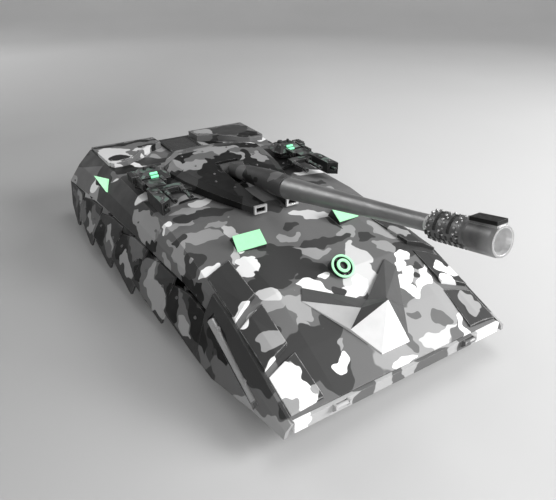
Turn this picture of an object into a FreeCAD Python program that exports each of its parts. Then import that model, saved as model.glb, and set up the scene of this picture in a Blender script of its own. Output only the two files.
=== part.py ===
import FreeCAD, Part
import math
import os

# Remote-controlled battle tank, millimetres.
# +Z is up, the nose points to -Y, the tank's left side is +X, and Z = 0 is the ground.
# The origin lies on the ground, midway between the muzzle and the rear plate.

V = FreeCAD.Vector

# ---------------------------------------------------------------- driving dimensions
NOSE_Y = -198.456           # the nose line; a station is the distance behind it
REAR = 440.0               # station of the rear face
WALL = 3.0                 # shell wall
CROWN_HALF = 60.0          # half width of the flat middle of the deck
TUB_HALF = 58.0            # half width of the lower hull
TUB_WALL = 2.5
FLOOR_Z = 11.0             # underside of the belly

# hull sections: station, deck edge half width and height, middle height,
# crease half width and height, lip half width and height
SECTIONS = [
    (3.0, 95.5, 29.0, 29.6, 97.0, 26.8, 99.0, 24.0),
    (37.0, 95.5, 42.5, 47.0, 97.8, 38.0, 100.5, 31.0),
    (80.0, 96.0, 58.5, 66.0, 98.2, 53.0, 101.5, 43.0),
    (115.0, 95.6, 64.0, 70.0, 99.5, 59.0, 102.5, 47.5),
    (150.0, 95.0, 69.0, 74.0, 101.5, 60.5, 104.0, 50.0),
    (190.0, 95.0, 74.0, 78.0, 104.5, 61.0, 107.5, 50.0),
    (250.0, 95.5, 74.6, 78.0, 106.5, 61.0, 112.0, 50.0),
    (300.0, 96.0, 75.0, 78.0, 109.0, 61.0, 117.0, 50.0),
    (345.0, 97.5, 75.5, 78.0, 112.0, 61.5, 121.5, 49.5),
    (360.0, 98.0, 75.5, 73.5, 112.5, 61.5, 123.0, 48.5),
    (437.0, 101.5, 76.5, 72.0, 116.5, 62.0, 130.5, 43.5),
]
CREASE, CREASE_Z, LIP, LIP_Z = 4, 5, 6, 7
# lower edge of the side armour: station, half width, height at a panel's front tip
SKIRT_EDGE = [(0.0, 101.0, 19.0), (30.0, 103.0, 14.0), (80.0, 113.0, 10.0), (108.0, 113.5, 9.0),
              (163.0, 121.0, 8.0), (219.0, 129.0, 8.0), (275.0, 132.5, 8.0), (331.0, 136.5, 8.0),
              (387.0, 136.5, 8.0), (441.0, 134.0, 9.0)]
FENDER_END = 108.0         # the front fender plates reach this station
SKIRT_COUNT = 6
SKIRT_T = 2.2

TURRET_S = 285.0           # station of the turret's axis
RING_R = 38.0              # hole in the deck for the turret
DECK_Z = 78.0
TURRET_Z = 78.6            # underside of everything that turns over the deck
PLATE_Z = 81.0             # top of the turntable plate
POSTS = [(48.0, 110.0), (48.0, 200.0), (48.0, 352.0)]  # hull posts: x and station
RAIL_X = (89.0, 92.0)      # hanger rail of the side armour
PEG_Z = 46.0
TRUNNION = (268.0, 87.2)   # station and height of the gun's pivot
GUN_TILT = 12.38           # elevation of the gun at rest, degrees
GUN_DROP = 5.1             # the bore runs this far below the pivot
GUN_LENGTH = 320.5         # pivot to muzzle
BRAKE_START = 270.0
SLOT_HALF = 13.0           # half width of the gun slot between the cheeks
SLOT_TIP = 10.6            # the same at the open front

STATION_X = 78.0           # remote weapon stations: distance from the centre line
STATION_S = 285.0
STATION_GUN = (266.0, 90.0)  # station and height of the small guns' pivots

TRACK_X = (62.0, 88.0)
BELT_T = 4.0
BELT_GAP = 0.25
WHEEL_R = 20.0
WHEEL_S = [122.0 + 61.0 * i for i in range(5)]
WHEEL_Z = BELT_T + BELT_GAP + WHEEL_R
IDLER = (78.0, 32.0, 15.0)       # station, height, radius
SPROCKET = (412.0, 38.0, 17.0)
AXLE_R = 2.0
AXLE_PLAY = 0.05
GEAR_X = (45.0, 49.0)
FINAL_MODULE = 0.8
FINAL_TEETH = (12, 36)
RING_MODULE = 1.0
RING_TEETH = (12, 60)


# ---------------------------------------------------------------- helpers
def at(s):
    """Y of a station."""
    return NOSE_Y + s


def lerp(table, s, column):
    """Value of a column of a station table, in straight lines between its rows."""
    rows = sorted(table)
    if s <= rows[0][0]:
        return rows[0][column]
    for a, b in zip(rows, rows[1:]):
        if s <= b[0]:
            return a[column] + (b[column] - a[column]) * (s - a[0]) / (b[0] - a[0])
    return rows[-1][column]


def box(x0, x1, s0, s1, z0, z1):
    return Part.makeBox(x1 - x0, s1 - s0, z1 - z0, V(x0, at(s0), z0))


def face(points):
    return Part.Face(Part.makePolygon([V(*p) for p in points] + [V(*points[0])]))


def prism(points, direction):
    """Solid of a flat outline pushed along a direction."""
    return face(points).extrude(V(*direction))


def plan_prism(outline, z0, z1):
    """Outline of (x, station) pairs between two heights."""
    return prism([(x, at(s), z0) for x, s in outline], (0, 0, z1 - z0))


def side_prism(outline, x0, x1):
    """Outline of (station, z) pairs between two values of X."""
    return prism([(x0, at(s), z) for s, z in outline], (x1 - x0, 0, 0))


def hull_of(rings):
    """Solid through closed rings of points, with straight lines from ring to ring."""
    wires = [Part.makePolygon([V(*p) for p in ring] + [V(*ring[0])]) for ring in rings]
    return Part.makeLoft(wires, True, True)


def facets(points, faces):
    """Closed solid from named corners; faces with more than three corners are cut into triangles."""
    triangles = []
    for names in faces:
        for i in range(1, len(names) - 1):
            triangles.append(face([points[names[0]], points[names[i]], points[names[i + 1]]]))
    solid = Part.Solid(Part.makeShell(triangles))
    if solid.Volume < 0:
        solid.reverse()
    return solid.removeSplitter()


def cylinder_x(s, z, r, x0, x1):
    return Part.makeCylinder(r, x1 - x0, V(x0, at(s), z), V(1, 0, 0))


def cylinder_z(x, s, r, z0, z1):
    return Part.makeCylinder(r, z1 - z0, V(x, at(s), z0), V(0, 0, 1))


def mirrored(shape):
    return shape.mirror(V(0, 0, 0), V(1, 0, 0))


def pair(shape):
    """A right-hand copy beside a left-hand shape, as two solids."""
    return Part.makeCompound([shape, mirrored(shape)])


def fuse(shapes):
    first = shapes[0]
    return first.fuse(shapes[1:]).removeSplitter() if len(shapes) > 1 else first


def save(name, shape):
    shape.exportStep("parts/" + name + ".step")


def save_sides(name, left):
    """One node for the left side and its mirror image for the right side."""
    save(name + "_left", left)
    save(name + "_right", mirrored(left))


# ---------------------------------------------------------------- gears
def involute(base_r, r):
    """Polar angle of the involute of a base circle at radius r."""
    t = math.sqrt(max((r / base_r) ** 2 - 1.0, 0.0))
    return t - math.atan(t)


def gear_profile(teeth, module, play):
    """Outline of a spur gear with stub involute teeth, a tooth centred on angle 0."""
    pitch_r = teeth * module / 2.0
    base_r = pitch_r * math.cos(math.radians(20.0))
    tip_r = pitch_r + 0.8 * module
    root_r = pitch_r - 1.05 * module
    half = math.pi / (2 * teeth) - play / (2 * pitch_r) + involute(base_r, pitch_r)
    start_r = max(base_r, root_r + 0.05 * module)
    radii = [start_r + (tip_r - start_r) * i / 4.0 for i in range(5)]
    edges = []
    step = 2 * math.pi / teeth

    def point(r, a):
        return V(r * math.cos(a), r * math.sin(a), 0)

    for k in range(teeth):
        mid = k * step
        rising = [point(root_r, mid - half)] if start_r > root_r else []
        rising += [point(r, mid - half + involute(base_r, r)) for r in radii]
        falling = [point(r, mid + half - involute(base_r, r)) for r in reversed(radii)]
        falling += [point(root_r, mid + half)] if start_r > root_r else []
        following = point(root_r, mid + step - half)
        edges += [(a, b) for a, b in zip(rising, rising[1:])]
        edges.append((rising[-1], falling[0]))
        edges += [(a, b) for a, b in zip(falling, falling[1:])]
        edges.append((falling[-1], following))
    return Part.Wire([Part.makeLine(a, b) for a, b in edges])


def gear(teeth, module, width, bore, turn=0.0, play=0.16):
    """Spur gear on the Z axis, from z = 0 to its width."""
    solid = Part.Face(gear_profile(teeth, module, play)).extrude(V(0, 0, width))
    solid = solid.cut(Part.makeCylinder(bore, width + 2, V(0, 0, -1)))
    solid.rotate(V(0, 0, 0), V(0, 0, 1), turn)
    return solid


def stand_along_x(shape, x, s, z):
    """Lays a shape made on the Z axis along +X at a station and height."""
    shape.rotate(V(0, 0, 0), V(0, 1, 0), 90)
    shape.translate(V(x, at(s), z))
    return shape


# ---------------------------------------------------------------- hull shells
def hull_ring(row, inset=0.0, drop=0.0):
    """Closed section of the upper hull at one station."""
    s, edge, edge_z, mid_z, crease, crease_z, lip, lip_z = row
    y = at(s)
    half = [(lip - inset * 1.4, lip_z - drop), (crease - inset * 1.1, crease_z - inset * 0.4)]
    half += [(edge - inset * 0.6, edge_z - inset), (CROWN_HALF, mid_z - inset)]
    right = [(x, y, z) for x, z in half]
    left = [(-x, y, z) for x, z in reversed(half)]
    return right + left


def upper_hull():
    outer = hull_of([hull_ring(row) for row in SECTIONS])
    inner_rows = [row for row in SECTIONS if row[0] > 20.0]
    first = [10.0] + [lerp(SECTIONS, 10.0, c) for c in range(1, 8)]
    last = [REAR + 5.0] + list(SECTIONS[-1][1:])
    inner = hull_of([hull_ring(row, WALL, 12.0) for row in [first] + inner_rows + [last]])
    shell = outer.cut(inner)
    shell = shell.cut(cylinder_z(0, TURRET_S, RING_R, 60, 90))
    posts = []
    for x, s in POSTS:
        post = cylinder_z(x, s, 4.0, FLOOR_Z + TUB_WALL, deck_z(x, s) - 1.5)
        post = post.cut(cylinder_z(x, s, 1.2, FLOOR_Z, FLOOR_Z + 18))
        posts += [post, mirrored(post)]
    return fuse([shell] + posts)


def tub_outline(inset=0.0, top=0.0):
    """Side outline of the lower hull as (station, z) pairs."""
    return [(8 + inset, 24 + inset), (40 + inset * 0.3, FLOOR_Z + inset), (404 - inset * 0.3, FLOOR_Z + inset),
            (436.8 - inset, 32), (436.8 - inset, 61 + top), (150, 61 + top), (80, 50 + top), (37, 34.5 + top)]


def lower_hull():
    tub = side_prism(tub_outline(), -TUB_HALF, TUB_HALF)
    room = side_prism(tub_outline(TUB_WALL, 20.0), -TUB_HALF + TUB_WALL, TUB_HALF - TUB_WALL)
    tub = tub.cut(room)
    floors = []
    for side in (1, -1):
        low, high = sorted((side * (TUB_HALF - 0.5), side * RAIL_X[1]))
        floors.append(box(low, high, 140, 432, 62.0, 64.0))
        low, high = sorted((side * (TUB_HALF - TUB_WALL), side * TUB_HALF))
        floors.append(box(low, high, 140, 432, 60.0, 64.0))
        low, high = sorted((side * RAIL_X[0], side * RAIL_X[1]))
        floors.append(box(low, high, 140, 432, PEG_Z - 5, 63.0))
    tub = fuse([tub] + floors)
    cuts = [box(-28, 28, 145, 245, 5, 20)]
    cuts += [cylinder_x(SPROCKET[0], SPROCKET[1], AXLE_R + AXLE_PLAY, -70, 70)]
    cuts += [box(-6, 6, 300, 304.6, 5, 20)]
    for i in range(SKIRT_COUNT):
        cuts.append(cylinder_x(peg_station(i), PEG_Z, 2.0, -95, 95).cut(box(-80, 80, 0, 440, 0, 90)))
    for x, s in POSTS:
        for sx in (x, -x):
            cuts.append(cylinder_z(sx, s, 1.25, 5, 20))
            cuts.append(cylinder_z(sx, s, 2.4, 5, FLOOR_Z + 1.6))
    for side in (1, -1):
        for s, z, _ in axle_places():
            low, high = sorted((side * 50.0, side * 60.0))
            cuts.append(cylinder_x(s, z, AXLE_R, low, high))
    for cut in cuts:
        tub = tub.cut(cut)
    return tub


def axle_places():
    """Station, height and radius of every free wheel."""
    return [IDLER] + [(s, WHEEL_Z, WHEEL_R) for s in WHEEL_S]


def belly_hatch():
    plate = box(-27.7, 27.7, 145.3, 244.7, FLOOR_Z, FLOOR_Z + TUB_WALL)
    for s in (165.0, 225.0):
        plate = plate.cut(box(-12, 12, s, s + 3, FLOOR_Z - 1, FLOOR_Z + 1))
    return plate


def nose_plate():
    plate = box(-95.5, 95.5, 0, 2.8, 20, 29.0)
    hooks = []
    for x in (-60.0, 60.0):
        hooks.append(cylinder_x(-1.9, 27.6, 1.5, x - 5.0, x + 5.0))
        for lug in (x - 6.4, x + 4.8):
            hooks.append(side_prism([(0.4, 22.4), (-1.2, 23.2), (-3.8, 27.0), (-3.4, 29.4), (0.4, 29.0)], lug, lug + 1.6))
    return fuse([plate] + hooks)


def rear_plate():
    plate = plan_prism([(-92, 437), (92, 437), (92, REAR), (-92, REAR)], 33, 70)
    for x in (-60.0, 60.0):
        plate = plate.cut(Part.makeBox(24, 2, 9, V(x - 12, at(REAR) - 1.2, 56)))
        for k in (-1, 0, 1):
            plate = plate.fuse(box(x + 8 * k - 0.8, x + 8 * k + 0.8, REAR - 1.5, REAR + 0.6, 56, 65))
    for x in (-30.0, 30.0):
        hook = cylinder_x(REAR + 1.2, 42.0, 3.6, x - 2, x + 2)
        plate = plate.fuse(hook.cut(cylinder_x(REAR + 2.2, 42.0, 1.8, x - 3, x + 3)))
    return plate.removeSplitter()


# ---------------------------------------------------------------- side armour
def side_point(s, share, out=0.0):
    """Point on the flank at a station: share 0 is the deck edge, 1 is the lower edge."""
    top_x, top_z = lerp(SECTIONS, s, 1), lerp(SECTIONS, s, 2)
    low_x, low_z = lerp(SKIRT_EDGE, s, 1), lerp(SKIRT_EDGE, s, 2)
    return (top_x + (low_x - top_x) * share + out, at(s), top_z + (low_z - top_z) * share)


def fender_plate():
    """Front fender: a slab over the flank, from the deck edge past the lip to the lower edge."""
    rings = []
    for s in (0.2, 37.0, 80.0, FENDER_END):
        y = at(s)
        edge, edge_z = lerp(SECTIONS, s, 1), lerp(SECTIONS, s, 2)
        lip, lip_z = lerp(SECTIONS, s, LIP), lerp(SECTIONS, s, LIP_Z)
        low, low_z = lerp(SKIRT_EDGE, s, 1), lerp(SKIRT_EDGE, s, 2)
        rings.append([(edge + 0.3, y, edge_z - 0.3), (lip + 0.3, y, lip_z), (low - 0.2, y, low_z),
                      (low + 2.4, y, low_z), (lip + 3.2, y, lip_z + 0.5), (edge + 2.6, y, edge_z - 0.6)])
    return hull_of(rings)


def rail_line():
    """Front and rear ends of the fender rail's axis."""
    front = V(103.5, at(36.0), 20.5)
    rear = V(104.8, at(97.0), 48.0)
    return front, rear


def fender_with_channel():
    front, rear = rail_line()
    run = rear.sub(front)
    unit = V(run).normalize()
    tool = Part.makeCylinder(4.6, run.Length + 8, front.sub(unit * 4), unit)
    return fender_plate().cut(tool)


def fender_rail():
    front, rear = rail_line()
    run = rear.sub(front)
    unit = V(run).normalize()
    tube = Part.makeCylinder(3.2, run.Length, front, unit)
    feet = []
    for share in (0.18, 0.82):
        p = front + run * share
        feet.append(Part.makeBox(2.6, 3.0, 12.0, V(p.x - 1.0, p.y - 1.5, p.z - 6.0)))
    return fuse([tube] + feet)


def peg_station(index):
    """Station of the peg that holds a side panel on the hanger rail."""
    return FENDER_END + (index + 0.72) * (REAR + 1.0 - FENDER_END) / SKIRT_COUNT


def skirt_panel(index):
    """One scale of the side armour: it stands proud in front and tucks behind the next one."""
    step = (REAR + 1.0 - FENDER_END) / SKIRT_COUNT
    s0 = FENDER_END + index * step
    s1 = min(s0 + step + 3.5, REAR + 0.5)
    last = index == SKIRT_COUNT - 1
    top0_x, top0_z = lerp(SECTIONS, s0, LIP) + 2.0, lerp(SECTIONS, s0, LIP_Z) - 1.2
    top1_x, top1_z = lerp(SECTIONS, s1, LIP) - 0.8, lerp(SECTIONS, s1, LIP_Z) - 1.2
    low0_x, low0_z = lerp(SKIRT_EDGE, s0, 1) + 2.4, lerp(SKIRT_EDGE, s0, 2)
    low1_x, low1_z = lerp(SKIRT_EDGE, s1, 1) - 0.8, lerp(SKIRT_EDGE, s1, 2) + (3 if last else 13)

    def on(share, s, top, low):
        x = top[0] + (low[0] - top[0]) * share
        z = top[1] + (low[1] - top[1]) * share
        return (x, at(s), z)

    front, rear = ((top0_x, top0_z), (low0_x, low0_z)), ((top1_x, top1_z), (low1_x, low1_z))
    middle = [[(a[k] + b[k]) / 2 for k in (0, 1)] for a, b in zip(front, rear)]
    outline = [on(0.0, s0, *front), on(1.0, s0, *front), on(1.0, s0 + 7.0, front[0], (low0_x, low0_z - 0.5)),
               on(1.0, s1, *rear), on(0.02 if last else 0.26, s1, *rear), on(0.03, (s0 + s1) / 2, *middle)]
    inner = [(x - SKIRT_T, y, z) for x, y, z in outline]
    points = {}
    for i in range(6):
        points["o%d" % i] = outline[i]
        points["i%d" % i] = inner[i]
    faces = [["o0", "o1", "o2", "o3", "o4", "o5"], ["i5", "i4", "i3", "i2", "i1", "i0"]]
    for i in range(6):
        j = (i + 1) % 6
        faces.append(["o%d" % i, "i%d" % i, "i%d" % j, "o%d" % j])
    s = peg_station(index)
    along = (s - s0) / (s1 - s0)
    top_x, top_z = top0_x + (top1_x - top0_x) * along, top0_z + (top1_z - top0_z) * along
    low_x, low_z = low0_x + (low1_x - low0_x) * along, low0_z + (low1_z - low0_z) * along
    reach = top_x + (low_x - top_x) * (PEG_Z - top_z) / (low_z - top_z)
    peg = cylinder_x(s, PEG_Z, 2.0, RAIL_X[0], reach - SKIRT_T * 0.4)
    return facets(points, faces).fuse(peg)


def skirt_panels(hull):
    return Part.makeCompound([skirt_panel(i).cut(hull) for i in range(SKIRT_COUNT)])


# ---------------------------------------------------------------- glacis
def deck_z(x, s):
    """Height of the upper hull's top face."""
    edge, edge_z, mid = lerp(SECTIONS, s, 1), lerp(SECTIONS, s, 2), lerp(SECTIONS, s, 3)
    share = min(max((abs(x) - CROWN_HALF) / (edge - CROWN_HALF), 0.0), 1.0)
    return mid + (edge_z - mid) * share


def armour_block(inner, outer, rear_inner, rear_outer, height, tail):
    """Raised block with a ridge along it: corners are (x, station), heights are above the plate."""
    mid_front = ((inner[0] + outer[0]) / 2, (inner[1] + outer[1]) / 2)
    mid_rear = ((rear_inner[0] + rear_outer[0]) / 2, (rear_inner[1] + rear_outer[1]) / 2)
    plan = [inner, mid_front, outer, rear_outer, mid_rear, rear_inner]
    lift = [height, height + 1.2, height * 0.8, tail, tail + 0.8, tail]
    points = {}
    for i, ((x, s), up) in enumerate(zip(plan, lift)):
        z = deck_z(x, s)
        points["t%d" % i] = (x, at(s), z + up)
        points["b%d" % i] = (x, at(s), z - 0.5)
    faces = [["t0", "t1", "t4", "t5"], ["t1", "t2", "t3", "t4"],
             ["b5", "b4", "b1", "b0"], ["b4", "b3", "b2", "b1"]]
    for i in range(6):
        j = (i + 1) % 6
        faces.append(["t%d" % i, "b%d" % i, "b%d" % j, "t%d" % j])
    return facets(points, faces)


def glacis_blocks():
    rows = [((69.0, 6.0), (95.0, 5.0), (71.0, 38.0), (95.2, 31.5), 1.6, 0.6),
            ((73.5, 44.0), (95.6, 36.0), (73.5, 78.0), (96.5, 69.0), 3.4, 0.6),
            ((74.5, 86.0), (96.4, 75.0), (72.0, 132.0), (94.5, 124.0), 3.8, 0.8)]
    left = [armour_block(*row) for row in rows]
    return Part.makeCompound(left + [mirrored(b) for b in left])


def chevron_plate():
    """Arrow-shaped raised plate with a beak, symmetric about the centre line."""
    half = {"Ti": (40.0, 76.5, 65.5), "To": (46.0, 68.0, 61.0), "L": (25.5, 35.5, 48.5),
            "F": (13.0, 14.5, 36.5), "W": (12.0, 41.5, 58.5)}
    points = {}
    for name, (x, s, z) in half.items():
        points[name + "l"] = (x, at(s), z)
        points[name + "r"] = (-x, at(s), z)
        sunk = deck_z(x, s) - 1.0
        points[name + "lb"] = (x, at(s), sunk)
        points[name + "rb"] = (-x, at(s), sunk)
    points["V"] = (0, at(49.0), 56.5)
    points["Vb"] = (0, at(49.0), deck_z(0, 49.0) - 1.0)
    points["A"] = (0, at(28.0), 69.5)
    faces = [["A", "Fl", "Fr"], ["V", "Wl", "A"], ["V", "A", "Wr"]]
    for side in ("l", "r"):
        def n(*names):
            return [k if k in ("A", "V", "Vb") else k + side if not k.endswith("b") else k[:-1] + side + "b"
                    for k in names]
        faces += [n("A", "L", "F"), n("A", "W", "L"), n("W", "To", "L"), n("W", "Ti", "To"), n("V", "Ti", "W"),
                  n("V", "Ti", "Tib", "Vb"), n("Ti", "To", "Tob", "Tib"), n("To", "L", "Lb", "Tob"),
                  n("L", "F", "Fb", "Lb")]
    faces += [["Fl", "Fr", "Frb", "Flb"],
              ["Vb", "Tilb", "Tolb", "Llb"], ["Vb", "Llb", "Flb"], ["Vb", "Flb", "Frb"],
              ["Vb", "Frb", "Lrb"], ["Vb", "Lrb", "Torb", "Tirb"]]
    return facets(points, faces)


RING_LAMP = (0.0, 80.0)    # centre of the round lamp: x and station
LAMP_TILT = 37.0           # it leans forward more than the glacis
LAMP_LIFT = 3.0            # height of its rim's middle over the glacis


def on_glacis(shape, lift):
    """Places a shape made round the origin, facing +Z, on the glacis under the ring lamp."""
    shape.rotate(V(0, 0, 0), V(1, 0, 0), LAMP_TILT)
    shape.translate(V(RING_LAMP[0], at(RING_LAMP[1]), deck_z(*RING_LAMP) + lift))
    return shape


def ring_lamp_housing():
    cup = Part.makeCylinder(9.7, 9.0, V(0, 0, -8.0)).cut(Part.makeCylinder(7.6, 5.0, V(0, 0, -1.6)))
    cup = cup.fuse(Part.makeCylinder(5.9, 4.0, V(0, 0, -2.0)))
    cup = cup.cut(Part.makeCylinder(2.9, 3.0, V(0, 0, 0.6)))
    for k in range(8):
        tooth = Part.makeBox(1.2, 1.2, 2.2, V(6.0, -0.6, -1.8))
        tooth.rotate(V(0, 0, 0), V(0, 0, 1), 45.0 * k + 20.0)
        cup = cup.fuse(tooth)
    return on_glacis(cup.removeSplitter(), LAMP_LIFT)


def ring_lamp_lens():
    outer = Part.makeCylinder(9.7, 0.9, V(0, 0, 1.0)).cut(Part.makeCylinder(8.2, 4.0, V(0, 0, 0)))
    inner = Part.makeCylinder(5.6, 1.1, V(0, 0, 2.0)).cut(Part.makeCylinder(3.5, 4.0, V(0, 0, 1.0)))
    return Part.makeCompound([on_glacis(outer, LAMP_LIFT), on_glacis(inner, LAMP_LIFT)])


def headlight(lens):
    """Raised wedge lamp on the upper glacis; the lens covers its sloping front face."""
    corners = [(61.4, 136.2, 73.5), (37.3, 132.1, 75.9), (37.0, 143.8, 83.6), (59.9, 148.1, 81.3)]
    feet = [(61.4, 136.4), (37.3, 132.3), (37.6, 151.5), (59.4, 156.5)]
    lens_t = 1.1
    points = {}
    for i, ((x, s, z), (fx, fs)) in enumerate(zip(corners, feet)):
        back = (x, at(s + lens_t * 0.45), z - lens_t * 0.9)
        points["t%d" % i] = (x, at(s), z) if lens else back
        points["b%d" % i] = back if lens else (fx, at(fs), deck_z(fx, fs) - 1.6)
    faces = [["t0", "t1", "t2", "t3"], ["b3", "b2", "b1", "b0"]]
    for i in range(4):
        j = (i + 1) % 4
        faces.append(["t%d" % i, "b%d" % i, "b%d" % j, "t%d" % j])
    return facets(points, faces)


def side_marker():
    """Three-cornered lamp on the rear flank."""
    def flank(s, share, out):
        x = lerp(SECTIONS, s, 1) + (lerp(SECTIONS, s, CREASE) - lerp(SECTIONS, s, 1)) * share
        z = lerp(SECTIONS, s, 2) + (lerp(SECTIONS, s, CREASE_Z) - lerp(SECTIONS, s, 2)) * share
        return (x + out, at(s), z + out * 0.5)
    corners = [(383.0, 0.86), (336.0, 1.0), (352.0, 0.45)]
    points = {}
    for i, (s, share) in enumerate(corners):
        points["t%d" % i] = flank(s, share, 1.6)
        points["b%d" % i] = flank(s, share, -0.6)
    faces = [["t0", "t1", "t2"], ["b2", "b1", "b0"]]
    for i in range(3):
        j = (i + 1) % 3
        faces.append(["t%d" % i, "b%d" % i, "b%d" % j, "t%d" % j])
    return facets(points, faces)


# ---------------------------------------------------------------- rear deck
def rear_deck_panel():
    """Raised panel on the rear deck; its inner front corner is cut off at a slant."""
    plan = [(24.0, 437.0), (100.0, 437.0), (97.5, 372.0), (93.0, 366.0), (77.0, 368.0), (46.0, 398.0), (24.0, 410.0)]
    tops = [79.0, 79.0, 80.2, 79.9, 79.9, 81.1, 80.4]
    points = {}
    for i, (x, s) in enumerate(plan):
        points["t%d" % i] = (x, at(s), tops[i])
        points["b%d" % i] = (x, at(s), deck_z(x, s) - 0.5)
    count = len(plan)
    faces = [["t%d" % i for i in range(count)], ["b%d" % i for i in reversed(range(count))]]
    for i in range(count):
        j = (i + 1) % count
        faces.append(["t%d" % i, "b%d" % i, "b%d" % j, "t%d" % j])
    return facets(points, faces)


def engine_grille():
    frame = box(-20, 20, 376, 432, 71.2, 75.4).cut(box(-17, 17, 379, 429, 73.0, 80))
    slats = []
    for i in range(9):
        s = 381.5 + i * 5.4
        slats.append(side_prism([(s, 73.0), (s + 1.4, 73.0), (s + 3.6, 75.2), (s + 2.2, 75.2)], -17.5, 17.5))
    return fuse([frame] + slats)


# ---------------------------------------------------------------- running gear
def tangent_points(a, b):
    """Where the outer tangent on the right of the way from circle a to circle b touches both."""
    dy, dz = b[0] - a[0], b[1] - a[1]
    way = math.atan2(dz, dy)
    normal = way - math.acos((a[2] - b[2]) / math.hypot(dy, dz))
    return [(c[0] + c[2] * math.cos(normal), c[1] + c[2] * math.sin(normal)) for c in (a, b)]


def belt_wire(extra, x):
    """Closed loop round idler, road wheels and sprocket, wider than their rims by extra."""
    last, first = (WHEEL_S[-1], WHEEL_Z, WHEEL_R), (WHEEL_S[0], WHEEL_Z, WHEEL_R)
    circles = [(s, z, r + extra) for s, z, r in (first, last, SPROCKET, IDLER)]
    count = len(circles)
    runs = [tangent_points(circles[i], circles[(i + 1) % count]) for i in range(count)]
    edges = []
    for i in range(count):
        start, end = runs[i]
        edges.append(Part.makeLine(V(x, at(start[0]), start[1]), V(x, at(end[0]), end[1])))
        centre = circles[(i + 1) % count]
        after = runs[(i + 1) % count][0]
        turn_a = math.atan2(end[1] - centre[1], end[0] - centre[0])
        turn_b = math.atan2(after[1] - centre[1], after[0] - centre[0])
        while turn_b < turn_a:
            turn_b += 2 * math.pi
        middle = (turn_a + turn_b) / 2
        mid = (centre[0] + centre[2] * math.cos(middle), centre[1] + centre[2] * math.sin(middle))
        arc = Part.Arc(V(x, at(end[0]), end[1]), V(x, at(mid[0]), mid[1]), V(x, at(after[0]), after[1]))
        edges.append(arc.toShape())
    return Part.Wire(edges)


def track():
    width = TRACK_X[1] - TRACK_X[0]
    outer = Part.Face(belt_wire(BELT_GAP + BELT_T, TRACK_X[0])).extrude(V(width, 0, 0))
    inner = Part.Face(belt_wire(BELT_GAP, TRACK_X[0] - 1)).extrude(V(width + 2, 0, 0))
    return outer.cut(inner)


def wheel(s, z, r, bore):
    """Disc wheel with a dished web, five lightening holes and a hub."""
    x0, x1 = TRACK_X[0] + 2, TRACK_X[1] - 2
    body = cylinder_x(s, z, r, x0, x1)
    body = body.cut(cylinder_x(s, z, r - 3.5, x1 - 5, x1 + 1))
    body = body.cut(cylinder_x(s, z, r - 3.5, x0 - 1, x0 + 9))
    body = body.fuse(cylinder_x(s, z, 5.0, x0, x1 - 1))
    for k in range(5):
        a = 2 * math.pi * k / 5
        body = body.cut(cylinder_x(s + (r * 0.56) * math.cos(a), z + (r * 0.56) * math.sin(a), r * 0.13, x0, x1))
    return body.cut(cylinder_x(s, z, bore, x0 - 2, x1 + 2)).removeSplitter()


def sprocket():
    """Drive wheel with a cogged rim on its own shaft, which carries the final gear."""
    s, z, r = SPROCKET
    x0, x1 = TRACK_X[0] + 2, TRACK_X[1] - 2
    body = wheel(s, z, r - 1.6, AXLE_R)
    cogs = []
    for k in range(12):
        a = 2 * math.pi * k / 12
        c = cylinder_x(s + (r - 2.0) * math.cos(a), z + (r - 2.0) * math.sin(a), 1.9, x0 + 7, x1 - 7)
        cogs.append(c)
    shaft = cylinder_x(s, z, AXLE_R, 40.0, x1)
    return fuse([body, shaft] + cogs)


def wheel_axles():
    pins = []
    for s, z, _ in axle_places():
        pin = cylinder_x(s, z, AXLE_R, TUB_HALF - TUB_WALL, TRACK_X[1] - 1)
        pins.append(pin.fuse(cylinder_x(s, z, 3.2, TRACK_X[1] - 2.9, TRACK_X[1] - 0.4)))
    return Part.makeCompound(pins + [mirrored(p) for p in pins])


def pinion_station():
    """Station of the drive motors' shafts."""
    return SPROCKET[0] - FINAL_MODULE * (FINAL_TEETH[0] + FINAL_TEETH[1]) / 2.0


def final_gear():
    x0, x1 = GEAR_X
    wheel_gear = gear(FINAL_TEETH[1], FINAL_MODULE, x1 - x0, AXLE_R)
    return stand_along_x(wheel_gear, x0, SPROCKET[0], SPROCKET[1])


def drive_pinion():
    x0, x1 = GEAR_X
    small = gear(FINAL_TEETH[0], FINAL_MODULE, x1 - x0, 1.0, 180.0 / FINAL_TEETH[0])
    small = stand_along_x(small, x0, pinion_station(), SPROCKET[1])
    shaft = cylinder_x(pinion_station(), SPROCKET[1], 1.0, 40.5, x1 + 1.0)
    return small.fuse(shaft).removeSplitter()


def drive_motor():
    s, z = pinion_station(), SPROCKET[1]
    can = cylinder_x(s, z, 10.0, 8.0, 38.0)
    can = can.common(box(0, 50, s - 10, s + 10, z - 7.5, z + 7.5))
    end = cylinder_x(s, z, 3.0, 6.0, 8.0)
    nose = cylinder_x(s, z, 3.0, 38.0, 40.0)
    return fuse([can, end, nose])


def gearbox_frame():
    """Plate that carries the motor and the inner end of the sprocket's shaft, on two feet."""
    s, z = pinion_station(), SPROCKET[1]
    low = FLOOR_Z + TUB_WALL
    outline = [(s - 12, low), (402.5, low), (SPROCKET[0] + 8, 25.5), (SPROCKET[0] + 8, z + 12), (s - 12, z + 12)]
    plate = side_prism(outline, 41.5, 43.5)
    plate = plate.cut(cylinder_x(s, z, 3.3, 40, 45))
    plate = plate.cut(cylinder_x(SPROCKET[0], z, AXLE_R + AXLE_PLAY, 40, 45))
    foot = box(33.0, 43.5, s - 12, SPROCKET[0] - 12, FLOOR_Z + TUB_WALL, FLOOR_Z + TUB_WALL + 2)
    seat = box(12.0, 43.5, s - 6, s + 6, FLOOR_Z + TUB_WALL, z - 7.6)
    return fuse([plate, foot, seat])


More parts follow.
